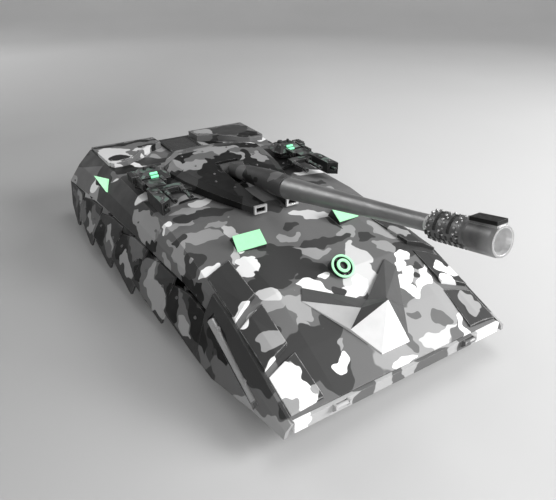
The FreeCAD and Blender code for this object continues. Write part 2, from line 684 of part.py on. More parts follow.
# ---------------------------------------------------------------- inside
def battery_pack():
    cells = []
    for x in (-16.5, 0.0, 16.5):
        for s in (152.0, 198.0):
            cells.append(Part.makeCylinder(8.0, 44.0, V(x, at(s), FLOOR_Z + TUB_WALL + 8.6), V(0, 1, 0)))
    wrap = box(-22, 22, 153, 241, FLOOR_Z + TUB_WALL + 1.5, FLOOR_Z + TUB_WALL + 15.0)
    plug = box(-5, 5, 241, 249, FLOOR_Z + TUB_WALL + 6, FLOOR_Z + TUB_WALL + 13)
    return fuse([wrap, plug] + cells)


def control_board():
    top = 26.0
    board = box(-32, 32, 254, 296, top, top + 1.6)
    chips = [box(-20, -8, 262, 274, top + 1.6, top + 3.2), box(4, 16, 260, 270, top + 1.6, top + 3.0),
             box(18, 28, 276, 292, top + 1.6, top + 9.0), box(-26, -14, 280, 292, top + 1.6, top + 9.0)]
    legs = [cylinder_z(x, s, 1.8, FLOOR_Z + TUB_WALL, top + 0.2) for x in (-28, 28) for s in (258, 292)]
    return fuse([board] + chips + legs)


def power_switch():
    knob = box(-3, 3, 300.8, 303.8, 9.4, 13.0)
    return knob.fuse(box(-4.6, 4.6, 300.4, 307.4 - 2.6, 13.7, 15.6)).removeSplitter()


def traverse_station():
    return TURRET_S + RING_MODULE * (RING_TEETH[0] + RING_TEETH[1]) / 2.0


def traverse_motor():
    s = traverse_station()
    can = cylinder_z(0, s, 11.0, FLOOR_Z + TUB_WALL, 46.0)
    neck = cylinder_z(0, s, 5.0, 46.0, 58.0)
    return can.fuse(neck).removeSplitter()


def traverse_pinion():
    small = gear(RING_TEETH[0], RING_MODULE, 6.0, 1.0, -90.0 + 180.0 / RING_TEETH[0])
    small.translate(V(0, at(traverse_station()), 60.5))
    return small.fuse(cylinder_z(0, traverse_station(), 1.0, 58.4, 67.0)).removeSplitter()


# ---------------------------------------------------------------- turret
def turret_base():
    """Turntable: a plate over the deck, a spigot through it and the ring gear below."""
    plate = cylinder_z(0, TURRET_S, 46.0, TURRET_Z, TURRET_Z + 2.4)
    slot_end = TRUNNION[0] + 12.0
    plate = plate.cut(box(-SLOT_HALF, SLOT_HALF, TURRET_S - 60, slot_end, TURRET_Z - 2, TURRET_Z + 5))
    spigot = cylinder_z(0, TURRET_S, RING_R - 0.5, 69.0, TURRET_Z + 0.5)
    spigot = spigot.cut(cylinder_z(0, TURRET_S, RING_R - 4.0, 68.0, TURRET_Z + 3))
    flange = cylinder_z(0, TURRET_S, RING_R - 0.5, 67.4, 70.0).cut(cylinder_z(0, TURRET_S, 14.0, 60, 80))
    ring = gear(RING_TEETH[1], RING_MODULE, 7.0, 14.0, 90.0)
    ring.translate(V(0, at(TURRET_S), 60.5))
    return fuse([plate, spigot, flange, ring])


def shell_ring(row, inset=0.0):
    """Closed turret section: base, crease and shoulder half widths with heights, and the middle height."""
    s, base, crease, crease_z, shoulder, shoulder_z, mid_z = row
    y = at(s)
    z0 = PLATE_Z if inset else TURRET_Z + 0.2
    half = [(base - inset * 1.5, z0 - inset * 0.1), (crease - inset * 1.3, crease_z - inset * 0.7)]
    half += [(shoulder - inset, shoulder_z - inset), (3.0, mid_z - inset)]
    return [(x, y, z) for x, z in half] + [(-x, y, z) for x, z in reversed(half)]


TURRET_SECTIONS = [
    (179.0, 22.8, 22.6, 84.6, 20.5, 86.2, 86.2),
    (213.0, 37.2, 36.6, 85.6, 29.5, 88.4, 88.8),
    (234.0, 44.5, 44.0, 86.0, 36.0, 89.2, 90.0),
    (262.0, 54.0, 52.0, 86.4, 44.0, 90.6, 91.6),
    (290.0, 60.5, 57.5, 87.4, 50.5, 93.6, 95.0),
    (301.5, 60.5, 57.5, 87.6, 49.3, 96.0, 96.8),
    (313.0, 58.0, 55.0, 87.2, 36.0, 97.3, 98.2),
    (352.0, 38.0, 36.0, 84.6, 28.0, 86.6, 87.4),
]


def turret_shell():
    body = hull_of([shell_ring(row) for row in TURRET_SECTIONS])
    rows = [list(row) for row in TURRET_SECTIONS[3:]]
    rows[0][0], rows[-1][0] = 258.0, 347.0
    room = hull_of([shell_ring(row, 3.0) for row in rows])
    shoulder_plan = [(40.0, 250.0), (86.0, 262.0), (96.0, 285.0), (88.0, 318.0), (40.0, 330.0)]
    shoulder = plan_prism(shoulder_plan, PLATE_Z, PLATE_Z + 2.4)
    shell = body.fuse([shoulder, mirrored(shoulder)]).cut(room)
    shell = shell.cut(cylinder_z(0, TURRET_S, 46.0, 70, PLATE_Z))
    for low, high in ((SLOT_HALF, SLOT_HALF + 4.0), (-SLOT_HALF - 4.0, -SLOT_HALF)):
        shell = shell.fuse(box(low, high, 256, 281, PLATE_Z, 91.5))
    narrow = [(-SLOT_TIP, 170), (SLOT_TIP, 170), (SLOT_TIP, 180), (SLOT_HALF, 200), (SLOT_HALF, 278)]
    narrow += [(-SLOT_HALF, 278), (-SLOT_HALF, 200), (-SLOT_TIP, 180)]
    shell = shell.cut(plan_prism(narrow, 75, 110))
    for side in (1, -1):
        low, high = sorted((side * (SLOT_TIP + 2.0), side * 20.8))
        shell = shell.cut(box(low, high, 170, 187, 80.2, 84.2))
        shell = shell.cut(cylinder_z(side * STATION_X, STATION_S, 4.05, 70, 95))
        low, high = sorted((side * (SLOT_HALF - 1), side * (SLOT_HALF + 8)))
        shell = shell.cut(cylinder_x(TRUNNION[0], TRUNNION[1], 3.05, low, high))
    return shell.removeSplitter()


def cheek_frame():
    """Bright rim round the open end of a cheek."""
    rim = box(SLOT_TIP - 0.2, 23.0, 177.0, 179.0, TURRET_Z, 86.6)
    return rim.cut(box(SLOT_TIP + 1.6, 21.2, 176, 180, TURRET_Z + 1.6, 84.6))


def along_gun(shape):
    """Turns a shape made along -Y from the origin to the gun's elevation, at the pivot."""
    shape.rotate(V(0, 0, 0), V(1, 0, 0), -GUN_TILT)
    shape.translate(V(0, at(TRUNNION[0]), TRUNNION[1]))
    return shape


def tube(profile):
    """Round solid on the bore line from (distance, radius) pairs, closed on the axis."""
    points = [V(0, -profile[0][0], -GUN_DROP)] + [V(r, -d, -GUN_DROP) for d, r in profile]
    points.append(V(0, -profile[-1][0], -GUN_DROP))
    return Part.Face(Part.makePolygon(points + [points[0]])).revolve(V(0, 0, -GUN_DROP), V(0, 1, 0), 360)


def gun_cradle():
    """Drum on the pivot with a mantlet sleeve that bends down onto the bore line."""
    drum = cylinder_x(0, 0, 7.0, -12.7, 12.7)
    drum.translate(V(0, -NOSE_Y, 0))
    pins = cylinder_x(0, 0, 3.0, -17.0, 17.0)
    pins.translate(V(0, -NOSE_Y, 0))
    rings = [(2.0, 6.6, 4.9), (24.0, 7.4, 4.6), (42.0, 8.3, 4.4), (58.0, 9.0, 3.8), (80.0, 10.0, 2.6),
             (104.0, 10.2, 0.9), (112.0, 9.9, 0.5)]
    wires = []
    for d, r, up in rings:
        wires.append(Part.Wire(Part.Circle(V(0, -d, up - GUN_DROP), V(0, 1, 0), r).toShape()))
    sleeve = Part.makeLoft(wires, True, False)
    sleeve = sleeve.cut(tube([(60.0, 5.4), (120.0, 5.4)]))
    return along_gun(fuse([drum, pins, sleeve]))


def gun_barrel():
    bar = tube([(60.0, 5.4), (112.2, 5.4), (112.2, 9.5), (150.0, 8.3), (200.0, 6.8), (240.0, 5.7),
                (258.0, 5.4), (BRAKE_START, 5.4)])
    return along_gun(bar.cut(tube([(200.0, 3.9), (BRAKE_START + 1, 3.9)])))


STUD_RINGS = (276.5, 286.5, 296.5)    # distances of the three rings of studs from the pivot


def muzzle_brake():
    """Slotted brake with three stud rings and a longer collar with a sight block on top."""
    end = GUN_LENGTH
    body = tube([(BRAKE_START, 5.5), (BRAKE_START + 5.5, 8.3), (BRAKE_START + 7.5, 8.8), (299.0, 8.8),
                 (301.0, 8.5), (302.5, 9.1), (end - 2.5, 9.1), (end, 8.7)])
    block = Part.makeBox(8.4, 17.5, 4.6, V(-4.2, -(end - 0.6), 7.0 - GUN_DROP))
    nib = Part.makeBox(6.0, 2.4, 4.0, V(-3.0, -(end - 16.9 + 2.0), 7.0 - GUN_DROP))
    body = body.fuse([block, nib])
    body = body.cut(tube([(BRAKE_START - 1, 3.9), (end - 14, 3.9)]))
    body = body.cut(tube([(end - 14.5, 6.2), (end - 3, 6.7), (end + 0.5, 7.5)]))
    for d in STUD_RINGS:
        for k in range(7):
            a = math.radians(180.0 + 30.0 * k)
            slot = Part.makeBox(5.6, 4.4, 1.3, V(5.2, -d - 2.2, -0.65))
            slot.rotate(V(0, 0, 0), V(0, 1, 0), -math.degrees(a))
            slot.translate(V(0, 0, -GUN_DROP))
            body = body.cut(slot)
    return along_gun(body.removeSplitter())


def elevation_servo():
    case = box(-10, 10, TRUNNION[0] + 14, TRUNNION[0] + 38, PLATE_Z, 90.5)
    horn = cylinder_x(TRUNNION[0] + 20, 87.0, 3.0, 10.0, 12.0)
    return case.fuse(horn).removeSplitter()


# ---------------------------------------------------------------- remote weapon stations
def station_head():
    """Turning head: foot disc, faceted body and a spigot through the shoulder."""
    x, s = STATION_X, STATION_S
    z = PLATE_Z + 3.2
    disc = cylinder_z(x, s, 14.0, z, z + 2.2)
    spigot = cylinder_z(x, s, 4.0, z - 3.2, z + 0.5)
    low = [(x - 15, s - 12), (x + 15, s - 12), (x + 18, s - 2), (x + 15, s + 16), (x - 15, s + 16), (x - 18, s - 2)]
    high = [(x - 9, s - 4), (x + 9, s - 4), (x + 11, s + 2), (x + 9, s + 11), (x - 9, s + 11), (x - 11, s + 2)]
    belt = [(px, at(ps), z + 6.0) for px, ps in low]
    top = [(px, at(ps), z + 11.6) for px, ps in high]
    foot = [(x + (px - x) * 0.8, at(s + (ps - s) * 0.8), z + 2.0) for px, ps in low]
    body = hull_of([foot, belt, top])
    side = box(x + 14, x + 21, s - 6, s + 10, z + 4.0, z + 10.5)
    ears = []
    for ex in (x - 6.5, x + 14.5):
        ears.append(side_prism([(s - 24, z + 3.2), (s - 8, z + 3.2), (s - 8, z + 9.5), (s - 24, z + 9.5)],
                               ex, ex + 3.0))
    head = fuse([disc, spigot, body, side] + ears)
    pivot = STATION_GUN
    head = head.cut(box(x - 3.0, x + 14.0, s - 30, s - 8.5, z + 2.6, z + 20))
    head = head.cut(cylinder_x(pivot[0], pivot[1], 1.55, x - 10, x + 20))
    return head


def station_lens():
    """Double-bar lens on the front slope of the head."""
    bars = []
    for i in range(2):
        bar = Part.makeBox(7.4, 2.0, 1.6, V(STATION_X - 3.7, -1.0, 0.0))
        bar.rotate(V(0, 0, 0), V(1, 0, 0), 35)
        bar.translate(V(0, at(STATION_S - 9.7 + 3.1 * i), PLATE_Z + 3.2 + 8.3 + 2.2 * i))
        bars.append(bar)
    return Part.makeCompound(bars)


def station_gun():
    """Boxy shrouded gun with two slim tubes beside it, on one tilting cradle."""
    x = STATION_X
    ps, pz = STATION_GUN
    arm = box(x - 2.6, x + 13.6, ps - 14, ps + 4.0, pz - 3.2, pz + 3.2)
    pin = cylinder_x(ps, pz, 1.5, x - 6.4, x + 17.4)
    shroud = plan_prism([(x + 7.5, 217.5), (x + 16.5, 211.5), (x + 17.0, 214.0), (x + 17.0, 250.0), (x + 13.0, 257.0),
                         (x + 7.5, 257.0)], 81.5, 93.4)
    shroud = shroud.cut(side_prism([(249, 80), (259, 80), (259, 85.4)], x, x + 20))
    shroud = shroud.cut(side_prism([(240, 94), (258, 94), (258, 91.4)], x, x + 20))
    shroud = shroud.cut(cylinder_y(x + 12.0, 205, 226, 88.0, 2.6))
    items = [arm, pin, shroud, cylinder_y(x + 12.0, 210, 230, 88.0, 1.5)]
    items.append(box(x - 17.4, x + 8.0, 246, 255, pz - 3.4, pz + 0.8))
    for tube_x, muzzle in ((x + 1.0, 221.0), (x - 14.8, 222.0)):
        rod = cylinder_y(tube_x, muzzle + 3.5, 250.0, 88.2, 1.75).fuse(cylinder_y(tube_x, muzzle, muzzle + 4.5, 88.2, 2.35))
        items.append(rod.fuse(cylinder_y(tube_x, 240.0, 252.0, 88.2, 2.5)).cut(cylinder_y(tube_x, muzzle - 5, muzzle + 3, 88.2, 1.2)))
    return fuse(items)


def cylinder_y(x, s0, s1, z, r):
    return Part.makeCylinder(r, s1 - s0, V(x, at(s0), z), V(0, 1, 0))


def screws():
    """Screws through the belly into the posts of the upper hull."""
    items = []
    for x, s in POSTS:
        for sx in (x, -x):
            head = cylinder_z(sx, s, 2.2, FLOOR_Z + 0.4, FLOOR_Z + 1.6)
            shank = cylinder_z(sx, s, 1.2, FLOOR_Z + 1.0, FLOOR_Z + 16.0)
            items.append(head.fuse(shank).removeSplitter())
    return Part.makeCompound(items)


# ---------------------------------------------------------------- every node
def main():
    os.makedirs("parts", exist_ok=True)
    hull = upper_hull()
    save("lower_hull", lower_hull())
    save("upper_hull", hull)
    save("belly_hatch", belly_hatch())
    save("nose_plate", nose_plate())
    save("rear_plate", rear_plate())
    save("fender_plates", pair(fender_with_channel().cut(hull)))
    save("fender_rails", pair(fender_rail()))
    save_sides("skirt_panels", skirt_panels(hull))
    save("glacis_blocks", glacis_blocks())
    save("chevron_plate", chevron_plate())
    save("ring_lamp_housing", ring_lamp_housing())
    save("ring_lamp_lens", ring_lamp_lens())
    save("headlight_housings", pair(headlight(False).cut(headlight(True))))
    save("headlight_lenses", pair(headlight(True)))
    save("side_marker_lenses", pair(side_marker()))
    save("rear_deck_panels", pair(rear_deck_panel()))
    save("engine_grille", engine_grille())
    save_sides("track", track())
    for i, s in enumerate(WHEEL_S):
        save_sides("road_wheel_%d" % (i + 1), wheel(s, WHEEL_Z, WHEEL_R, AXLE_R + AXLE_PLAY))
    save_sides("idler_wheel", wheel(*IDLER, AXLE_R + AXLE_PLAY))
    save_sides("drive_sprocket", sprocket())
    save_sides("final_gear", final_gear())
    save_sides("drive_pinion", drive_pinion())
    save("wheel_axles", wheel_axles())
    save("drive_motors", pair(drive_motor()))
    save("gearbox_frames", pair(gearbox_frame()))
    save("battery_pack", battery_pack())
    save("control_board", control_board())
    save("power_switch", power_switch())
    save("traverse_motor", traverse_motor())
    save("traverse_pinion", traverse_pinion())
    save("turret_base", turret_base())
    save("turret_shell", turret_shell())
    save("cheek_frames", pair(cheek_frame()))
    save("gun_cradle", gun_cradle())
    save("gun_barrel", gun_barrel())
    save("muzzle_brake", muzzle_brake())
    save("elevation_servo", elevation_servo())
    lens = station_lens()
    save_sides("station_head", station_head().cut(lens))
    save_sides("station_lens", lens)
    save_sides("station_gun", station_gun())
    save("screws", screws())


main()
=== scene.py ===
import math
import random

import bmesh
import bpy
from mathutils import Matrix, Vector
from mathutils.bvhtree import BVHTree


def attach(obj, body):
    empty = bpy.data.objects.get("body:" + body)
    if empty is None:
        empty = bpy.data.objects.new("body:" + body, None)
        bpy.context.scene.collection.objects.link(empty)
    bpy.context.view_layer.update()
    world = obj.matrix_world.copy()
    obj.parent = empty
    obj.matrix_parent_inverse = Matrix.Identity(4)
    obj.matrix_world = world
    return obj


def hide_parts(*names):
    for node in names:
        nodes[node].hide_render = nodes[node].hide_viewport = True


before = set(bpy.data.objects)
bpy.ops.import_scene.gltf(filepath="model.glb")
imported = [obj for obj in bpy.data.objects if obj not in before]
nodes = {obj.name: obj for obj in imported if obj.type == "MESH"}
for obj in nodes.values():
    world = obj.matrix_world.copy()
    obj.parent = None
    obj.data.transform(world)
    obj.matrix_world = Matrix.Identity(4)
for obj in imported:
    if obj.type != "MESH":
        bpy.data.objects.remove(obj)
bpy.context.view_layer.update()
MM = 0.001
NOSE_Y = -198.456          # the nose line; stations are measured behind it, in millimetres
TRUNNION = (268.0, 87.2)   # station and height of the gun's pivot
GUN_TILT = 12.38           # elevation of the gun at rest, in degrees
GUN_DROP = 5.1             # the bore runs this far below the pivot
SCALES = 6                 # armour scales on a side
SCALE_START = 108.0        # station where the first scale begins
SCALE_PITCH = 55.5
ABOVE = 130.0              # a height over everything but the gun, where downward searches start
BESIDE = 170.0             # a distance to the side, outside the armour
BEHIND = 470.0             # a station behind the rear face
STATION = (78.0, 285.0)    # distance to the side and station of a weapon station's pivot
TRACK_X = 75.0             # distance of a track's middle line from the centre
BRAKE_RADIUS = 8.75        # where studs and lugs stand on the muzzle brake
UNBOUNDED = 1000.0         # half thickness, in metres, of a paint patch that runs right through the object
DOWN = (0, 0, -1)
FORWARD = (0, -1, 0)
rng = random.Random(7)


def place(x, s, z):
    """Point in metres from a distance to the left, a station and a height in millimetres."""
    return Vector((x * MM, (NOSE_Y + s) * MM, z * MM))


# ---------------------------------------------------------------- shader helpers
class Shader:
    """A material's node tree with short calls for the nodes used here."""

    def __init__(self, name):
        self.mat = bpy.data.materials.new(name)
        self.mat.use_nodes = True
        self.tree = self.mat.node_tree
        self.bsdf = self.tree.nodes["Principled BSDF"]
        self.coords = self.add("ShaderNodeTexCoord").outputs["Object"]

    def add(self, kind, **values):
        node = self.tree.nodes.new(kind)
        for key, value in values.items():
            setattr(node, key, value)
        return node

    def join(self, source, target):
        self.tree.links.new(source, target)

    def feed(self, target, value):
        if hasattr(value, "is_output"):
            self.join(value, target)
        else:
            target.default_value = value

    def noise(self, scale, detail=2.0, rough=0.5, distort=0.0, vector=None):
        node = self.add("ShaderNodeTexNoise")
        self.join(vector or self.coords, node.inputs["Vector"])
        node.inputs["Scale"].default_value = scale
        node.inputs["Detail"].default_value = detail
        node.inputs["Roughness"].default_value = rough
        node.inputs["Distortion"].default_value = distort
        return node.outputs["Fac"]

    def math(self, kind, a, b=0.0):
        node = self.add("ShaderNodeMath", operation=kind)
        self.feed(node.inputs[0], a)
        self.feed(node.inputs[1], b)
        return node.outputs[0]

    def ramp(self, value, low, high, out_low=0.0, out_high=1.0):
        node = self.add("ShaderNodeMapRange")
        for key, number in (("From Min", low), ("From Max", high), ("To Min", out_low), ("To Max", out_high)):
            self.feed(node.inputs[key], number)
        self.feed(node.inputs["Value"], value)
        return node.outputs["Result"]

    def mix(self, factor, a, b, kind="MIX"):
        node = self.add("ShaderNodeMix", data_type="RGBA", blend_type=kind)
        self.feed(node.inputs["Factor"], factor)
        self.feed(node.inputs["A"], a)
        self.feed(node.inputs["B"], b)
        return node.outputs["Result"]

    def shift(self, offset, scale=(1, 1, 1), rotation=(0, 0, 0), vector=None):
        node = self.add("ShaderNodeMapping")
        self.join(vector or self.coords, node.inputs["Vector"])
        node.inputs["Location"].default_value = offset
        node.inputs["Scale"].default_value = scale
        node.inputs["Rotation"].default_value = rotation
        return node.outputs["Vector"]

    def split(self, vector=None):
        node = self.add("ShaderNodeSeparateXYZ")
        self.join(vector or self.coords, node.inputs[0])
        return node.outputs

    def bump(self, height, strength, distance, normal=None):
        node = self.add("ShaderNodeBump")
        node.inputs["Strength"].default_value = strength
        node.inputs["Distance"].default_value = distance
        self.join(height, node.inputs["Height"])
        if normal is not None:
            self.join(normal, node.inputs["Normal"])
        return node.outputs["Normal"]

    def soft_edge(self, radius):
        """Normal rounded over sharp edges, and a mask that is 1 on them."""
        bevel = self.add("ShaderNodeBevel", samples=4)
        bevel.inputs["Radius"].default_value = radius
        flat = self.add("ShaderNodeNewGeometry").outputs["Normal"]
        dot = self.add("ShaderNodeVectorMath", operation="DOT_PRODUCT")
        self.join(bevel.outputs[0], dot.inputs[0])
        self.join(flat, dot.inputs[1])
        return bevel.outputs[0], self.ramp(dot.outputs["Value"], 0.97, 0.72)

    def length(self, vector):
        node = self.add("ShaderNodeVectorMath", operation="LENGTH")
        self.join(vector, node.inputs[0])
        return node.outputs["Value"]

    def add_scaled(self, vector, factor, start):
        """start + vector * factor"""
        node = self.add("ShaderNodeVectorMath", operation="MULTIPLY_ADD")
        self.join(vector, node.inputs[0])
        node.inputs[1].default_value = (factor,) * 3
        self.join(start, node.inputs[2])
        return node.outputs[0]

    def finish(self, color, rough=None, normal=None):
        self.feed(self.bsdf.inputs["Base Color"], color)
        if rough is not None:
            self.feed(self.bsdf.inputs["Roughness"], rough)
        if normal is not None:
            self.join(normal, self.bsdf.inputs["Normal"])
        return self.mat


def grey(level):
    """Neutral colour from its linear level."""
    return (level, level, level, 1.0)


def tinted(color, factor):
    """Colour made darker or lighter, still opaque."""
    return tuple(v * factor for v in color[:3]) + (1.0,)


BLACK, DARK, MID = grey(0.008), grey(0.042), grey(0.130)
LIGHT, PALE, WHITE = grey(0.31), grey(0.58), grey(0.88)


# ---------------------------------------------------------------- materials
def spots(m, where, warped, upright):
    """Smallest of the ellipses' own distances: below 1 inside any of them."""
    nearest = None
    for u, v, half_u, half_v, turn in where:
        node = m.add("ShaderNodeMapping", vector_type="TEXTURE")
        m.join(warped, node.inputs["Vector"])
        if upright:
            node.inputs["Location"].default_value = place(0.0, u, v)
            node.inputs["Rotation"].default_value = (math.radians(turn), 0.0, 0.0)
            node.inputs["Scale"].default_value = (UNBOUNDED, half_u * MM, half_v * MM)
        else:
            node.inputs["Location"].default_value = place(u, v, 0.0)
            node.inputs["Rotation"].default_value = (0.0, 0.0, math.radians(turn))
            node.inputs["Scale"].default_value = (half_u * MM, half_v * MM, UNBOUNDED)
        here = m.length(node.outputs[0])
        nearest = here if nearest is None else m.math("MINIMUM", nearest, here)
    return nearest


def noise_camo(m, seed, size, tint):
    """Camouflage whose patches are drawn by noise fields alone."""
    moved = m.shift(seed, (1.0, 0.72, 1.0), (0.0, 0.0, 0.35))
    color = tinted(MID, tint)
    for paint, offset, scale, level in ((LIGHT, (0.3, 0.1, 0.7), 24, 0.53), (WHITE, (1.7, 0.4, 0.2), 21, 0.585),
                                        (DARK, (0.9, 2.2, 1.3), 19, 0.52), (BLACK, (2.6, 1.1, 3.1), 34, 0.64)):
        field = m.noise(scale / size, 1.2, 0.45, 0.55, m.shift(offset, vector=moved))
        color = m.mix(m.ramp(field, level, level + 0.006), color, tinted(paint, tint))
    return color


def camo(name, layers, base=MID, free=None, tint=1.0, rubbed_and_highlight=0.5, rim=0.6, upright=False):
    """Urban camouflage on matt plastic: hard-edged rounded patches in greys.

    layers are (paint, ellipses), each ellipse as (x, station, half width, half length,
    turn), or on an upright side face (station, height, half length, half height, tilt).
    free is (station, seed, size): behind that station noise fields draw the patches."""
    m = Shader(name)
    color = tinted(base, tint)
    if free:
        station, seed, size = free
        start = (NOSE_Y + station) * MM
        behind = m.ramp(m.split()[1], start, start + 0.0004)
        color = m.mix(behind, color, noise_camo(m, seed, size, tint))
    # the ellipses are looked up at coordinates bent by a noise, which makes them lobed
    swirl = m.add("ShaderNodeTexNoise")
    m.join(m.coords, swirl.inputs["Vector"])
    swirl.inputs["Scale"].default_value = 66.0
    swirl.inputs["Detail"].default_value = 1.3
    centre = m.add("ShaderNodeVectorMath", operation="SUBTRACT")
    m.join(swirl.outputs["Color"], centre.inputs[0])
    centre.inputs[1].default_value = (0.5, 0.5, 0.5)
    warped = m.add_scaled(centre.outputs[0], 0.024, m.coords)
    for paint, where in layers:
        mask = m.ramp(spots(m, where, warped, upright), 1.0, 0.96)
        color = m.mix(mask, color, tinted(paint, tint))
        # an unseen shift by the colour so far makes each layer wait for the one before,
        # or all of them together are more than the renderer can hold for one material
        warped = m.add_scaled(color, 1e-7, warped)
    grime = m.noise(9.0, 5.0, 0.6)
    color = m.mix(m.ramp(grime, 0.45, 0.75, 0.0, 0.12), color, grey(0.35), "MULTIPLY")
    # edges painted lighter: partly rubbed wear, partly a painted highlight along the edges
    normal, edge = m.soft_edge(rim * MM)
    wear_and_highlight = m.ramp(m.noise(160, 2.0), 0.42, 0.6, rubbed_and_highlight * 0.3, rubbed_and_highlight)
    color = m.mix(m.math("MULTIPLY", edge, wear_and_highlight), color, grey(0.60))
    rough = m.ramp(m.noise(60, 3.0), 0.3, 0.7, 0.42, 0.60)
    m.bsdf.inputs["Specular IOR Level"].default_value = 0.18
    return m.finish(color, rough, m.bump(m.noise(1500, 2.0, 0.6), 0.12, 0.0001, normal))


def plastic(name, level, rough, grain=1400, edge=0.25):
    """Moulded plastic with a fine grain, faint mottling and lighter edges, partly rubbed wear and partly a
    painted highlight.
    """
    m = Shader(name)
    base = m.mix(m.ramp(m.noise(35, 4.0, 0.6), 0.35, 0.7), grey(level * 0.8), grey(level * 1.2))
    normal, edges = m.soft_edge(0.0005)
    # lighter edge colour: rubbed wear and painted highlight
    color = m.mix(m.math("MULTIPLY", edges, edge), base, grey(min(level * 3 + 0.08, 0.7)))
    normal = m.bump(m.noise(grain, 2.0, 0.6), 0.15, 0.0001, normal)
    return m.finish(color, m.ramp(m.noise(80, 3.0), 0.3, 0.7, *rough), normal)


def metal(name, color, rough, metallic=1.0, scratch=0.3, stretch=(1, 1, 1)):
    """Metal with fine directional scratches and brighter edges, partly bare worn metal and partly a painted
    highlight.
    """
    m = Shader(name)
    m.bsdf.inputs["Metallic"].default_value = metallic
    lines = m.noise(420, 3.0, 0.6, 0.0, m.shift((0, 0, 0), stretch))
    patches = m.ramp(m.noise(28, 4.0, 0.6), 0.3, 0.7)
    normal, edges = m.soft_edge(0.0004)
    shade = m.mix(patches, tinted(color, 0.72), color)
    # edges painted brighter: worn bare metal and painted highlight
    bare_and_highlight = tuple(min(v * 1.7, 0.9) for v in color[:3]) + (1.0,)
    shade = m.mix(m.math("MULTIPLY", edges, 0.5), shade, bare_and_highlight)
    roughness = m.math("ADD", m.ramp(lines, 0.35, 0.65, *rough), m.ramp(patches, 0, 1, 0, 0.06))
    return m.finish(shade, roughness, m.bump(lines, scratch, 0.00006, normal))


def brake_metal():
    """Blued steel of the muzzle brake: bore and mouth painted pale as painted light and highlight, edges
    lighter as wear and painted highlight, black sight block on top.
    """
    m = Shader("brake_metal")
    local = m.add("ShaderNodeMapping", vector_type="TEXTURE")
    m.join(m.coords, local.inputs["Vector"])
    local.inputs["Location"].default_value = place(0.0, TRUNNION[0], TRUNNION[1])
    local.inputs["Rotation"].default_value = (-math.radians(GUN_TILT), 0.0, 0.0)
    x, ahead, height = m.split(local.outputs[0])
    patches = m.ramp(m.noise(60, 4.0, 0.6), 0.3, 0.7)
    color = m.mix(patches, grey(0.10), grey(0.19))
    normal, edges = m.soft_edge(0.0004)
    # edges painted lighter: wear and painted highlight
    color = m.mix(m.math("MULTIPLY", edges, 0.55), color, grey(0.75))
    across = m.add("ShaderNodeCombineXYZ")
    m.join(x, across.inputs[0])
    m.join(m.math("ADD", height, GUN_DROP * MM), across.inputs[1])
    # inside of the bore painted pale: painted light where the bore is lit
    bore = m.ramp(m.length(across.outputs[0]), 7.7 * MM, 7.5 * MM)
    color = m.mix(bore, color, grey(0.80))
    # front end painted paler towards the mouth: painted highlight on the muzzle's rim
    mouth = m.ramp(ahead, -311 * MM, -319 * MM, 0.0, 0.5)
    color = m.mix(mouth, color, grey(0.50))
    top = (9.3 - GUN_DROP) * MM
    color = m.mix(m.ramp(height, top, top + 0.0002), color, grey(0.006))
    m.bsdf.inputs["Metallic"].default_value = 0.55
    lines = m.noise(500, 3.0, 0.6)
    return m.finish(color, m.ramp(lines, 0.3, 0.7, 0.28, 0.42), m.bump(lines, 0.2, 0.00006, normal))


def facet_light_and_shade():
    """Colour by which way a facet faces, as painted light and shade: front facets white or light, the facets
    that face up or left dark.
    """
    m = Shader("facet_light_and_shade")
    facing = m.split(m.add("ShaderNodeNewGeometry").outputs["Normal"])
    front = m.math("LESS_THAN", facing[1], -0.40)
    steep = m.math("LESS_THAN", facing[1], -0.60)
    near = m.math("LESS_THAN", facing[0], 0.20)
    # front facets on the near side painted light, the others painted dark: painted light and shade by facing
    color = m.mix(m.math("MULTIPLY", front, near), grey(0.060), grey(0.50))
    color = m.mix(m.math("MULTIPLY", steep, near), color, grey(0.97))
    worn = m.noise(70, 4.0, 0.6)
    color = m.mix(m.ramp(worn, 0.35, 0.75, 0.0, 0.15), color, grey(0.35), "MULTIPLY")
    normal, edges = m.soft_edge(0.0005)
    # lighter edges: wear and painted highlight
    color = m.mix(m.math("MULTIPLY", edges, 0.25), color, grey(0.55))
    return m.finish(color, m.ramp(m.noise(80, 3.0), 0.3, 0.7, 0.45, 0.6),
                    m.bump(m.noise(1500, 2.0, 0.6), 0.12, 0.0001, normal))


def station_paint_and_shading():
    """Dark weapon stations: tops painted mottled grey and lighter than the near-black sides, as painted light
    and shade by facing, with painted glints on the tops and bright edges, partly rubbed wear and partly painted
    highlight.
    """
    m = Shader("station_paint_and_shading")
    m.bsdf.inputs["Specular IOR Level"].default_value = 0.25
    up = m.split(m.add("ShaderNodeNewGeometry").outputs["Normal"])[2]
    mottle = m.ramp(m.noise(95, 1.5, 0.5, 0.6), 0.47, 0.50)
    top = m.mix(mottle, grey(0.016), grey(0.062))
    # greenish specks on the tops: painted glints
    glint = m.ramp(m.noise(120, 1.2, 0.5, 0.4, m.shift((1.3, 0.4, 0.2))), 0.58, 0.60)
    top = m.mix(glint, top, (0.10, 0.14, 0.12, 1.0))
    # surfaces that face up painted lighter than the sides: painted light and shade
    color = m.mix(m.ramp(up, 0.35, 0.55), grey(0.014), top)
    normal, edges = m.soft_edge(0.0007)
    # edges painted lighter: rubbed wear and painted highlight
    wear_and_highlight = m.ramp(m.noise(90, 2.0), 0.4, 0.6, 0.12, 0.75)
    color = m.mix(m.math("MULTIPLY", edges, wear_and_highlight), color, grey(0.50))
    return m.finish(color, m.ramp(m.noise(80, 3.0), 0.3, 0.7, 0.40, 0.55),
                    m.bump(m.noise(1400, 2.0, 0.6), 0.12, 0.0001, normal))


